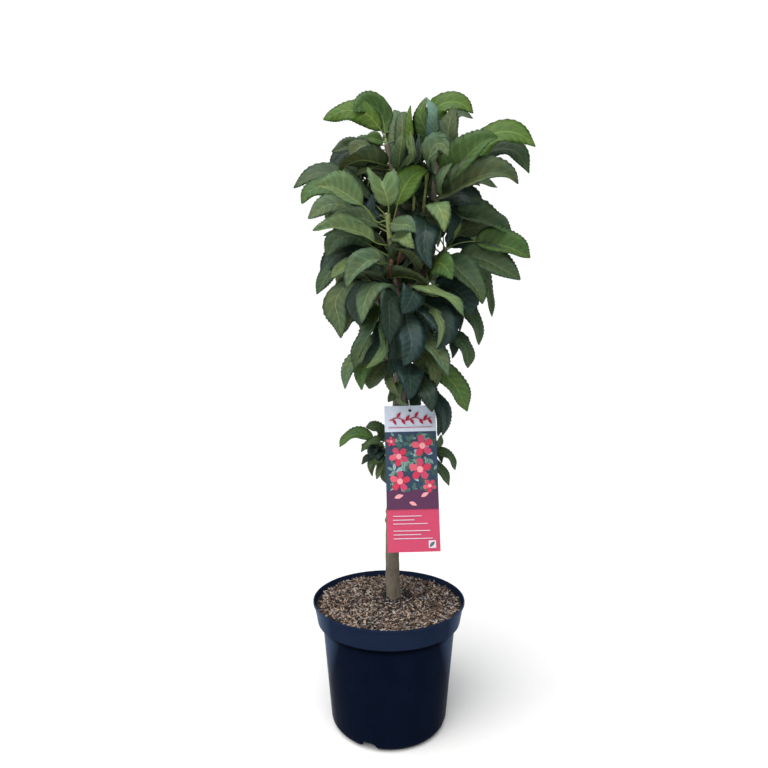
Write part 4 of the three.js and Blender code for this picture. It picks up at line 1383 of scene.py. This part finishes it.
# %% Leading leaves low down
LEAVES["right_spur"] = [
    Leaf([(103, 653, -20), (113, 636, -22), (110, 618, -22)], 30, 24, 50, "deep", 0.2, top="right"),
    Leaf([(58, 605, -50), (68, 580, -54), (78, 556, -56)], 20, 32, 60, "olive", 0.3, top="right"),
    Leaf([(71, 618, -70), (80, 594, -78), (78, 561, -80)], 12, 30, 62, "olive", 0.5, top="right"),
    Leaf([(106, 657, -20), (125, 646, -32), (136, 627, -38), (137, 601, -42)], 36, 40, 42, "mid", 0.7,
         fold=12, top="right"),
    Leaf([(68, 643, -86), (87, 622, -98), (103, 587, -102)], 10, 38, 46, "sage", 1.0, fold=24,
         top="right"),
]
LEAVES["low_right"] = [
    Leaf([(85, 539, -20), (91, 514, -24), (85, 483, -24)], 16, 24, 60, "deep", 0.0, top="right"),
    Leaf([(76, 553, -34), (94, 531, -40), (98, 508, -42), (93, 484, -42)], 12, 32, 46, "blue", 0.2,
         under="sage", fold=12, top="right"),
    Leaf([(84, 601, -48), (103, 584, -58), (118, 566, -64), (127, 547, -66), (136, 526, -66)], 10, 54, 44,
         "fresh", 1.0, fold=16, top="right"),
]
LEAVES["low_front"] = [
    Leaf([(12, 561, -24), (-1, 542, -26)], 16, 22, 60, "mid", 0.0, top="left"),
    Leaf([(18, 547, -40), (33, 537, -44)], 20, 12, 50, "sage", 0.3),
    Leaf([(28, 556, 10), (37, 542, 8), (40, 511, 6)], 14, 40, 60, "deep", 0.0, under="deep", top="right"),
    Leaf([(64, 563, -92), (71, 547, -100), (75, 525, -100)], 14, 38, 72, "deep", 0.7, under="deep",
         top="right"),
    Leaf([(35, 591, -98), (38, 570, -108), (33, 546, -108)], 10, 46, 72, "blue", 1.0, fold=14,
         top="right"),
]
LEAVES["low_left"] = [
    Leaf([(2, 587, -50), (4, 573, -54), (19, 552, -58)], 12, 22, 50, "olive", 0.3, top="left"),
    Leaf([(-12, 605, -40), (-26, 587, -46), (-34, 565, -48)], 10, 44, 60, "olive", 0.9, top="left"),
]
print("leading leaves so far:", sum(map(len, LEAVES.values())))

# %% Leading leaves of the whorl on the bare stem
LEAVES["whorl_left"] = [
    Leaf([(-7, 424, 0), (-8, 412, -2), (-1, 398, -2)], 8, 16, 50, "mid", 0.0, top="left"),
    Leaf([(-14, 431, -16), (-21, 408, -18)], 12, 16, 55, "olive", 0.1, top="left"),
    Leaf([(-19, 440, -20), (-29, 436, -22), (-34, 423, -22)], 10, 20, 52, "mid", 0.3, top="left"),
    Leaf([(-22, 448, -8), (-34, 447, -10), (-47, 434, -10)], 16, 15, 50, "deep", 0.4),
    Leaf([(-15, 459, -8), (-22, 452, -14), (-27, 436, -16)], 10, 28, 60, "blue", 0.5, top="left"),
    Leaf([(-17, 467, -4), (-26, 462, -8), (-31, 447, -10)], 10, 26, 55, "deep", 0.6, top="left"),
    Leaf([(-15, 473, -24), (-34, 471, -26), (-48, 455, -26)], 10, 22, 44, "mid", 0.7),
    Leaf([(-14, 487, 6), (-22, 499, 4), (-40, 498, 2)], 14, 26, 50, "mid", 0.9),
    Leaf([(-29, 480, -8), (-55, 486, -12), (-74, 479, -14), (-85, 464, -14)], 22, 30, 42, "fresh", 1.0),
]
LEAVES["whorl_right"] = [
    Leaf([(85, 452, 2), (92, 436, 0)], 8, 14, 50, "deep", 0.0, top="right"),
    Leaf([(89, 424, 2), (99, 410, 0), (104, 397, 0)], 14, 24, 50, "mid", 0.3, top="right"),
    Leaf([(85, 469, 4), (91, 485, 4)], 8, 14, 60, "sage", 0.6, top="right"),
    Leaf([(92, 455, 0), (106, 447, -2), (115, 424, -4)], 12, 22, 44, "mid", 1.0, top="right"),
]
print("leading leaves so far:", sum(map(len, LEAVES.values())))

# %% [markdown]
# ## The leaves between
#
# The leaves behind and between the leading ones hardly show one by one, so they
# follow the tree's own rule instead: each stands 137.5 degrees round the shoot from
# the last, the lower ones droop, and each takes the clearest of several seeded tries
# that stays inside the crown, behind the leading leaves and off the gaps where sky
# shows. A leaf that finds no such place is shed.

# %% The crown that filling leaves stay in
CROWN = [  # height, left and right edge as seen from the front, front and back limit
    (0.395, -0.030, 0.100, 0.000, 0.100), (0.440, -0.048, 0.110, -0.010, 0.104),
    (0.500, -0.040, 0.090, 0.000, 0.100), (0.545, 0.000, 0.100, -0.020, 0.120),
    (0.590, -0.046, 0.120, -0.080, 0.150), (0.650, -0.060, 0.130, -0.090, 0.165),
    (0.720, -0.090, 0.160, -0.100, 0.185), (0.790, -0.110, 0.205, -0.100, 0.190),
    (0.870, -0.120, 0.195, -0.100, 0.180), (0.940, -0.115, 0.205, -0.095, 0.175),
    (1.000, -0.070, 0.160, -0.085, 0.170), (1.040, -0.060, 0.125, -0.070, 0.140),
    (1.070, -0.030, 0.100, -0.050, 0.100),
]
SKY_GAPS = [  # as seen from the front: across, up, radius
    (-0.003, 0.962, 0.010), (-0.065, 0.957, 0.006), (0.082, 0.797, 0.010), (0.106, 0.802, 0.006),
    (0.126, 0.802, 0.010), (0.056, 0.670, 0.006), (-0.019, 0.662, 0.005), (0.011, 0.579, 0.010),
    (-0.036, 0.641, 0.008), (0.148, 0.842, 0.008), (0.170, 0.901, 0.014), (0.150, 0.722, 0.008),
]
GAP_MARGIN = 0.008


def as_seen(point):
    """Where a point shows from the front, as (across, up, depth)."""
    stretch = -CAMERA_PLACE.y / (point[1] - CAMERA_PLACE.y)
    return (CAMERA_PLACE.x + (point[0] - CAMERA_PLACE.x) * stretch,
            CAMERA_PLACE.z + (point[2] - CAMERA_PLACE.z) * stretch, point[1])


def in_crown(point):
    """Whether a point is inside the crown and clear of the gaps."""
    across, up, _ = as_seen(point)
    heights = [row[0] for row in CROWN]
    if not heights[0] < up < heights[-1]:
        return False
    left, right, fore, rear = (np.interp(up, heights, [row[k] for row in CROWN]) for k in (1, 2, 3, 4))
    if not (left < across < right and fore < point[1] < rear):
        return False
    return all(math.hypot(across - x, up - z) > radius + GAP_MARGIN for x, z, radius in SKY_GAPS)


print("crown:", len(CROWN), "levels,", len(SKY_GAPS), "gaps")

# %% Growing a leaf with its stalk
CURL = 0.08  # how far the edge of a leading leaf rolls back down
LONGEST_STALK = 0.85  # share of a leaf
RIB_DROP = 0.8  # how far the midrib sinks below the blade, as a share of its radius
RIB_SIDES = 5
SHADED_TINTS = ("deep", "blue")
FULL_TURN = 6.28
chance = random.Random(20)
tiers = {name: Heap() for name in ("top", "upper", "mid", "low", "whorl")}
ribs = Heap()
twigs = Heap()
taken = []  # points of all leaves, from which filling leaves keep clear
in_front = []  # points of the leading leaves as seen, which filling leaves stay behind


def outer_part(line, step=5):
    """Some points of a leaf beyond its stalk."""
    return line[len(line) // 3::step]


def grow_leaf(pattern, tier, line, faces, stalk_share, width, fold, curl, tint, under):
    """Adds one blade with its stalk and midrib."""
    wave, phase = chance.uniform(0.05, 0.2), chance.uniform(0, FULL_TURN)
    points, maps = blade_points(pattern, line, faces, stalk_share, width, fold, curl, wave, phase)
    top, below = TINT_NUMBER[tint], TINT_NUMBER[under or UNDERSIDE.get(tint, tint)]
    kinds = [top if upper else below for upper in pattern.is_upper]
    tiers[tier].add(points, pattern.faces, kinds, maps)
    line, faces = line[::2], faces[::2]
    shares = np.linspace(0, 1, len(line))
    radii = np.interp(shares, [0, 0.06, stalk_share, 0.75, 1], [0.0018, 0.0012, 0.00105, 0.0006, 0.0002])
    sunk = np.clip((shares - stalk_share) / 0.1, 0, 1) * radii * RIB_DROP
    ribs.tube(line - faces * sunk[:, None], radii, RIB_SIDES, SHADED if tint in SHADED_TINTS else STALK)


def place_leading(tier, leaf, root):
    """Grows a leading leaf from its root on a shoot."""
    path = [[part / MILLIMETRES for part in point] for point in leaf.path]
    way = [tuple(root)] + [tuple(along_sight(*point)) for point in path]
    line, length = evenly(smooth_line(way, 2 * LINE_STEPS))
    stalk_share = min(LONGEST_STALK, leaf.stalk / MILLIMETRES / length)
    faces = carried_faces(line, stalk_share, leaf.show, leaf.top)
    grow_leaf(FULL_BLADE, tier, line, faces, stalk_share, leaf.width / MILLIMETRES, leaf.fold, CURL,
              leaf.tint, leaf.under)
    taken.extend(outer_part(line))
    in_front.extend(as_seen(point) for point in outer_part(line, 4))


# %% Leading leaves
SHOOT_STEPS = 12
for name, leaves in LEAVES.items():
    way = smooth_line(SHOOTS[name].line, SHOOT_STEPS)
    for leaf in leaves:
        place_leading(SHOOTS[name].tier, leaf, way[round(leaf.at * SHOOT_STEPS)])
front = np.array(in_front)
print("leading leaves:", len(ribs.points))

# %% Finding a place for a filling leaf
TRIES = 26
LEAF_REACH = 0.022  # a leading leaf hides what shows this near to its points
CLEARANCE = 0.012
CLIMB = (-28, 52)  # degrees at the foot and at the tip of a shoot
REACH = (0.078, 0.125)
WHORL_SHARE = 0.62  # leaves of the small whorl on the bare stem are shorter by this
AMPLE_GAP = 0.05


def fill_leaf(tier, root, turn, level):
    """The clearest of several tries at a leaf that leaves its shoot at that turn."""
    best = None
    small = WHORL_SHARE if tier == "whorl" else 1.0
    for _ in range(TRIES):
        azimuth = turn + chance.uniform(-0.7, 0.7)
        climb = math.radians(np.interp(level, [0, 1], CLIMB) + chance.uniform(-22, 22))
        reach = small * chance.uniform(*REACH)
        tip = root + reach * np.array((
            math.cos(azimuth) * math.cos(climb), math.sin(azimuth) * math.cos(climb), math.sin(climb)))
        line, length = arched_line(root, tip, reach * chance.uniform(0.1, 0.26), chance.uniform(0.42, 0.66))
        samples = outer_part(line)
        if not all(in_crown(p) for p in samples):
            continue
        seen = np.array([as_seen(p) for p in samples])
        beside = np.linalg.norm(seen[:, None, :2] - front[None, :, :2], axis=2) < LEAF_REACH
        if (beside & (seen[:, None, 2] < front[None, :, 2] + CLEARANCE)).any():
            continue
        gap = min(np.linalg.norm(np.array(taken)[:, None] - samples[None], axis=2).min(), AMPLE_GAP)
        if best is None or gap > best[0]:
            best = (gap, line, length, azimuth)
    return best


# %% Filling leaves and the shoots themselves
GOLDEN_ANGLE = math.radians(137.5)
FILLING_CURL = 0.1
# leaves low on a shoot, inside the crown, mostly take the deep tint, partly painted shade; those near the
# tip take fresh and bright, partly painted light
TINT_BY_LEVEL = [("deep", 0.30), ("mid", 0.75), ("fresh", 0.93), ("bright", 1.01)]
TWIG_SIDES = 8
TIP_TAPER = 0.7  # radius at a shoot's tip, as a share of that at its root
shed = 0
for shoot in SHOOTS.values():
    way = smooth_line(shoot.line, SHOOT_STEPS)
    start = chance.uniform(0, FULL_TURN)
    for number in range(shoot.fill):
        level = (number + 0.5) / shoot.fill
        root, turn = way[round(level * SHOOT_STEPS)], start + number * GOLDEN_ANGLE
        found = fill_leaf(shoot.tier, root, turn, level)
        if found is None:
            shed += 1
            continue
        _, line, length, azimuth = found
        outward = np.array((math.cos(azimuth), math.sin(azimuth), 0))
        aside = np.array((-outward[1], outward[0], 0))
        face = unit(np.array(WAYS["up"]) + 0.25 * outward + chance.uniform(-0.35, 0.35) * aside)
        pick = chance.uniform(0, 0.75) + 0.25 * level
        tint = next(tint for tint, limit in TINT_BY_LEVEL if pick < limit)
        width = length * chance.uniform(0.40, 0.50)
        grow_leaf(LEAN_BLADE, shoot.tier, line, fixed_faces(line, face), chance.uniform(0.2, 0.3), width,
                  chance.uniform(18, 42), FILLING_CURL, tint, "")
        taken.extend(outer_part(line))
    radii = np.linspace(shoot.radius, shoot.radius * TIP_TAPER, len(way))
    twigs.tube(way, radii, TWIG_SIDES, shoot.finish)
print("leaves:", len(ribs.points), "shed:", shed)

# %% Spurs with a bud on the end
SPURS = [  # points of the way, radius and finish
    ([(0.014, -0.040, 0.768), (0.016, -0.054, 0.781), (0.020, -0.060, 0.793)], 0.0027, BUD),
    ([(0.002, -0.034, 0.752), (0.000, -0.052, 0.762), (0.004, -0.062, 0.776)], 0.0034, BUD),
    ([(0.008, -0.020, 0.715), (-0.008, -0.040, 0.722), (-0.020, -0.052, 0.716)], 0.0036, BUD),
    ([(0.030, -0.030, 0.704), (0.044, -0.046, 0.716), (0.056, -0.052, 0.722)], 0.0036, BUD),
    ([(0.020, -0.052, 0.708), (0.012, -0.064, 0.728), (0.008, -0.066, 0.744)], 0.0030, BROWN),
    ([(0.026, -0.010, 0.830), (0.024, -0.030, 0.850), (0.022, -0.036, 0.896)], 0.0028, BROWN),
    ([(0.058, -0.014, 0.866), (0.060, -0.034, 0.890), (0.064, -0.040, 0.930)], 0.0030, GREEN),
    ([(0.036, -0.006, 0.838), (0.040, -0.030, 0.856), (0.042, -0.038, 0.890)], 0.0024, GREEN),
    ([(0.048, -0.008, 0.800), (0.062, -0.026, 0.806), (0.080, -0.034, 0.812)], 0.0026, GREEN),
]
SPUR_STEPS = 10
BUD_AT, BUD_LENGTH, BUD_SWELL = 0.86, 0.12, 0.5  # shares of the spur's length and radius
spur_share = np.linspace(0, 1, SPUR_STEPS + 1)
taper = np.linspace(1.0, 0.72, SPUR_STEPS + 1)
taper *= 1 + BUD_SWELL * np.exp(-((spur_share - BUD_AT) / BUD_LENGTH) ** 2)
taper[-1] *= 0.3
for way, radius, kind in SPURS:
    twigs.tube(smooth_line(way, SPUR_STEPS), radius * taper, TWIG_SIDES, kind)
print("spurs:", len(SPURS))

# %% The leaf pieces
TIER_NODES = {
    "top": ["foliage_top_left", "foliage_top_middle", "foliage_top_right", "foliage_top_back"],
    "upper": ["foliage_upper_front", "foliage_upper_right", "foliage_upper_left", "foliage_upper_back"],
    "mid": ["foliage_mid_left", "foliage_mid_right", "foliage_mid_front", "foliage_mid_back_left",
            "foliage_mid_back_right"],
    "low": ["foliage_low_left", "foliage_low_right", "foliage_low_front", "foliage_low_back",
            "foliage_tag_side"],
    "whorl": ["foliage_whorl_left", "foliage_whorl_right", "foliage_whorl_back"],
}
for tier, heap in tiers.items():
    leaves = heap.piece("leaves_" + tier, leaf_finishes)
    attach(leaves, "root")
    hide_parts(*TIER_NODES[tier])
    print(leaves.name, count(leaves), "triangles")
rib_piece = ribs.piece("leaf_stalks_and_midribs", twig_finishes)
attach(rib_piece, "root")
twig_piece = twigs.piece("twigs", twig_finishes)
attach(twig_piece, "root")
print("stalks:", count(rib_piece), "triangles, twigs:", count(twig_piece))

# %% [markdown]
# ## The hang tag
#
# A nursery hangs a long printed card from a thin loop of thread on the lowest bough.
# The card is laminated, so it has a soft sheen and a slight bow. A print made by a
# pattern would blur where it is baked, so each printed shape is a film of its own,
# a few hundredths of a millimetre thick, lying on the card. The print is a plain
# one: a sprig on the white head, five-petalled blossoms among leaves over a plum
# wave, and a pink foot with plain rules.

# %% The card's place
TAG_WIDTH = 0.0865
TAG_HEIGHT = 0.240
TAG_THICKNESS = 0.0009
HOLE_RADIUS = 0.0028
HOLE_DROP = 0.008
TAG_TOP = Vector((0.0352, -0.020, 0.5365))
TAG_SWING = math.radians(-8.4)  # its foot stands forward
TAG_TURN = math.radians(-1.4)  # and a little to the right
TAG_BOW = 0.0016
STRIP_END = -0.0438  # up from the top edge, like all heights on the card
PICTURE_END = -0.1715
tag_place = (Matrix.Translation(TAG_TOP) @ Matrix.Rotation(TAG_TURN, 4, "Y")
             @ Matrix.Rotation(TAG_SWING, 4, "X"))


def on_card(x, z, out):
    """A point of the tag: across, up from its top edge, and out from its front."""
    bow = TAG_BOW * ((2 * x / TAG_WIDTH) ** 2) * (-z / TAG_HEIGHT)
    return tag_place @ Vector((x, bow - TAG_THICKNESS / 2 - out, z))


def add_plate(heap, flat, faces, kinds, out, thick, back):
    """A thin closed plate whose front lies that far out from the card's front."""
    size = len(flat)
    points = [on_card(x, z, out) for x, z in flat] + [on_card(x, z, out - thick) for x, z in flat]
    edges = {(f[i], f[(i + 1) % len(f)]) for f in faces for i in range(len(f))}
    rims = [(a, b) for a, b in edges if (b, a) not in edges]
    shell = [list(f) for f in faces] + [[size + c for c in f[::-1]] for f in faces]
    shell += [[b, a, size + a, size + b] for a, b in sorted(rims)]
    heap.add(points, shell, list(kinds) + [back] * (len(shell) - len(faces)))


print("card:", TAG_WIDTH, "x", TAG_HEIGHT, "m")

# %% The card's finishes
CARD_COLOURS = {
    "card_white": (208, 219, 236), "print_ground": (46, 66, 90), "print_pink": (196, 66, 100),
    "print_leaf": (70, 106, 98), "print_pale": (118, 156, 146), "print_moss": (56, 84, 72),
    "print_red": (200, 52, 84), "print_heart": (236, 160, 166), "print_plum": (84, 44, 78),
    "print_light": (222, 204, 220), "print_crimson": (176, 24, 62), "print_haze": (156, 182, 196),
    "print_rose": (216, 92, 112),
}
INK = {name.split("_")[1]: number for number, name in enumerate(CARD_COLOURS)}
card_finishes = []
for name, colour in CARD_COLOURS.items():
    ink = Finish(name, Roughness=0.38, Specular_IOR_Level=0.4)
    grain = ink.cloud(260, 3)
    ink.colour(ink.mix(grain, *(shifted(paint(*colour), scale, scale, scale) for scale in (0.9, 1.1))))
    ink.relief(grain, 0.0002, 0.3)
    card_finishes.append(ink.material)
print("card finishes:", len(card_finishes))

# %% The card with its hole
HALF_TAG = TAG_WIDTH / 2
BLOCK = 0.008  # half the square of cells that the hole takes the place of
BETWEEN = 0.0255  # where a column of cells ends between the block and the card's edge
card_columns = [-HALF_TAG, -BETWEEN, -BLOCK, -BLOCK / 2, 0, BLOCK / 2, BLOCK, BETWEEN, HALF_TAG]
card_rows = [0, -BLOCK / 2, -BLOCK, -1.5 * BLOCK, -2 * BLOCK, -0.030, STRIP_END]
card_rows += list(np.linspace(STRIP_END, PICTURE_END, 7)[1:])
card_rows += list(np.linspace(PICTURE_END, -TAG_HEIGHT, 5)[1:])
flat = [(x, z) for z in card_rows for x in card_columns]
wide = len(card_columns)
LEFT, RIGHT, LOW = 2, 6, 4  # columns and rows of cells that bound the block
faces, kinds = [], []
for i, z in enumerate(card_rows[:-1]):
    for j in range(wide - 1):
        if i < LOW and LEFT <= j < RIGHT:
            continue
        faces.append([i * wide + j, (i + 1) * wide + j, (i + 1) * wide + j + 1, i * wide + j + 1])
        kinds.append(INK["white" if z > STRIP_END else "ground" if z > PICTURE_END else "pink"])
square = [(0, j) for j in range(LEFT, RIGHT)] + [(i, RIGHT) for i in range(LOW)]
square += [(LOW, j) for j in range(RIGHT, LEFT, -1)] + [(i, LEFT) for i in range(LOW, 0, -1)]
outer = [i * wide + j for i, j in square]
inner = []
for corner in outer:
    x, z = flat[corner]
    turn = math.atan2(z + HOLE_DROP, x)
    inner.append(len(flat))
    flat.append((HOLE_RADIUS * math.cos(turn), HOLE_RADIUS * math.sin(turn) - HOLE_DROP))
for k in range(len(outer)):
    n = (k + 1) % len(outer)
    faces.append([outer[k], inner[k], inner[n], outer[n]])
    kinds.append(INK["white"])
card = Heap()
add_plate(card, flat, faces, kinds, 0, TAG_THICKNESS, INK["white"])
print("card:", len(card.faces), "faces")

# %% A printed shape
FILM = 0.00006
FILM_STEP = 0.000004  # each film lies this much higher than the one before
film_number = 0


def print_shape(outline, ink):
    """Lays a film of that outline on the card, over those before it."""
    global film_number
    film_number += 1
    out = FILM + film_number * FILM_STEP
    area = sum(a[0] * b[1] - b[0] * a[1] for a, b in zip(outline, outline[1:] + outline[:1]))
    outline = outline if area > 0 else outline[::-1]
    add_plate(card, outline, [list(range(len(outline)))], [INK[ink]], out, out + FILM, INK[ink])


def print_bar(left, low, right, high, ink):
    print_shape([(left, low), (right, low), (right, high), (left, high)], ink)


def turned_shape(shape, x, z, size, turn):
    """An outline sized, turned and moved to its place."""
    c, n = math.cos(turn) * size, math.sin(turn) * size
    return [(x + a * c - b * n, z + a * n + b * c) for a, b in shape]


SPRIG_LEAF = [(0, 0), (0.2, 0.16), (0.45, 0.24), (0.7, 0.18), (1, 0), (0.75, -0.14), (0.45, -0.2),
              (0.2, -0.13)]
LEAF_RIB = [(0.05, 0), (0.5, 0.025), (0.9, 0), (0.5, -0.025)]
PETAL = [(0.12, -0.07), (0.5, -0.3), (0.85, -0.26), (1.0, -0.05), (0.97, 0.12), (0.8, 0.3), (0.45, 0.28),
         (0.12, 0.07)]
DISC = [(math.cos(a), math.sin(a)) for a in np.linspace(0, 2 * math.pi, 10, endpoint=False)]


def blossom(x, z, size, turn):
    """Five petals round a pale heart."""
    for k in range(5):
        way = turn + k * 2 * math.pi / 5
        print_shape(turned_shape(PETAL, x, z, size, way), ("red", "pink", "rose")[k % 3])
    print_shape(turned_shape(DISC, x, z, 0.28 * size, 0), "heart")


# %% The printed picture
SCATTERED_LEAVES = 190
LEAF_INKS = ["leaf", "pale", "moss", "pale", "leaf", "haze", "ground"]
WAVE_TOP = PICTURE_END + 0.030
PRINT_EDGE = HALF_TAG - 0.0004
BLOSSOMS = [  # across, up, size
    (0.019, -0.068, 0.0185), (-0.021, -0.085, 0.0165), (0.014, -0.107, 0.019),
    (-0.020, -0.126, 0.0175), (0.029, -0.134, 0.0115), (-0.033, -0.060, 0.0085),
]
FALLEN_PETALS = [  # across, up, size, turn
    (-0.030, -0.153, 0.016, 0.3), (-0.006, -0.160, 0.014, -0.4), (0.014, -0.152, 0.015, 0.5),
]
printer = random.Random(11)
for _ in range(SCATTERED_LEAVES):
    x, z = printer.uniform(-0.038, 0.038), printer.uniform(WAVE_TOP - 0.004, STRIP_END - 0.004)
    turn, size = printer.uniform(0, FULL_TURN), printer.uniform(0.008, 0.017)
    ink = printer.choice(LEAF_INKS)
    leaf = turned_shape(SPRIG_LEAF, x, z, size, turn)
    if all(abs(a) < HALF_TAG - 0.001 and WAVE_TOP - 0.01 < b < STRIP_END for a, b in leaf):
        print_shape(leaf, ink)
        if ink != "ground":
            print_shape(turned_shape(LEAF_RIB, x, z, size, turn), "ground")
wave = [(x, WAVE_TOP + 0.0022 * math.sin(x * 160)) for x in np.linspace(-PRINT_EDGE, PRINT_EDGE, 15)]
for (x, z), (next_x, next_z) in zip(wave, wave[1:]):
    print_shape([(x, PICTURE_END), (next_x, PICTURE_END), (next_x, next_z), (x, z)], "plum")
for x, z, size in BLOSSOMS:
    blossom(x, z, size, printer.uniform(0, 1.2))
for x, z, size, turn in FALLEN_PETALS:
    print_shape(turned_shape(SPRIG_LEAF, x, z, size, turn), "heart")
print("films in the picture:", film_number)

# %% The printed head and foot
STEM_WIDTH = 0.0016
SPRIG_LEAF_SIZE, SPRIG_LEAF_TURN = 0.0115, 0.95
RULE_START, RULE_WIDTH = -0.033, 0.0011
RULE_TOP, RULE_DROP, RULE_BREAK = -0.183, 0.0062, 0.005  # the break comes after three rules
RULE_LENGTHS = [0.047, 0.035, 0.056, 0.060, 0.045, 0.064]
stem = [(x, -0.0235 + 0.0024 * math.sin(x * 210)) for x in np.linspace(-0.035, 0.035, 29)]
print_shape(stem + [(x, z + STEM_WIDTH) for x, z in stem[::-1]], "crimson")
for k, (x, z) in enumerate(stem[2:-1:3]):
    turn = SPRIG_LEAF_TURN if k % 2 else -SPRIG_LEAF_TURN
    print_shape(turned_shape(SPRIG_LEAF, x, z + STEM_WIDTH / 2, SPRIG_LEAF_SIZE, turn), "crimson")
print_bar(-0.037, -0.0372, 0.037, -0.0364, "pink")
for k, length in enumerate(RULE_LENGTHS):
    z = RULE_TOP - RULE_DROP * k - (RULE_BREAK if k > 2 else 0)
    print_bar(RULE_START, z, RULE_START + length, z + RULE_WIDTH, "light")
print_bar(0.024, -0.234, 0.036, -0.222, "light")
print_shape(turned_shape(SPRIG_LEAF, 0.0255, -0.2325, 0.0125, 0.8), "leaf")

tag = card.piece("tag_card", card_finishes, smooth=False)
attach(tag, "root")
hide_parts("tag")
print("tag:", count(tag), "triangles")

# %% The loop of thread
THREAD_RADIUS = 0.0007
THREAD_CLEAR = 0.001  # how far it stays off the edge of the hole
LOOP_BEND = 0.008
TIE_STEP, BOUGH_PERCENT = 27, 100  # it goes over the bough 27 percent of the way along
thread = Finish("tie_thread", Roughness=0.8)
twist = thread.cloud(900, 2)
thread.colour(thread.mix(twist, paint(226, 226, 220), paint(190, 190, 184)))
thread.relief(twist, 0.0002, 0.6)
hole = tag_place @ Vector((0, 0, -HOLE_DROP))
hole.z += HOLE_RADIUS - THREAD_RADIUS - THREAD_CLEAR
over = Vector(smooth_line(BOUGHS["bough_low_right"], BOUGH_PERCENT)[TIE_STEP][:3])


def beside(share, side):
    """A point on the thread's way from the hole up to the bough."""
    return hole.lerp(over, share) + Vector((0, side * LOOP_BEND * min(1, 0.45 + share), 0))


loop = [hole, beside(0.25, -1), beside(0.65, -1)]
loop += [over + Vector((0, LOOP_BEND * math.cos(math.radians(a)), LOOP_BEND * math.sin(math.radians(a))))
         for a in (180, 135, 90, 45, 0)]
loop += [beside(0.65, 1), beside(0.25, 1), hole]
cord = Heap()
path = smooth_line([tuple(p) for p in loop], 60)
cord.tube(path, [THREAD_RADIUS] * len(path), 8, 0)
cord = cord.piece("tag_thread", [thread.material])
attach(cord, "root")
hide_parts("tag_tie")
print("thread:", count(cord), "triangles")
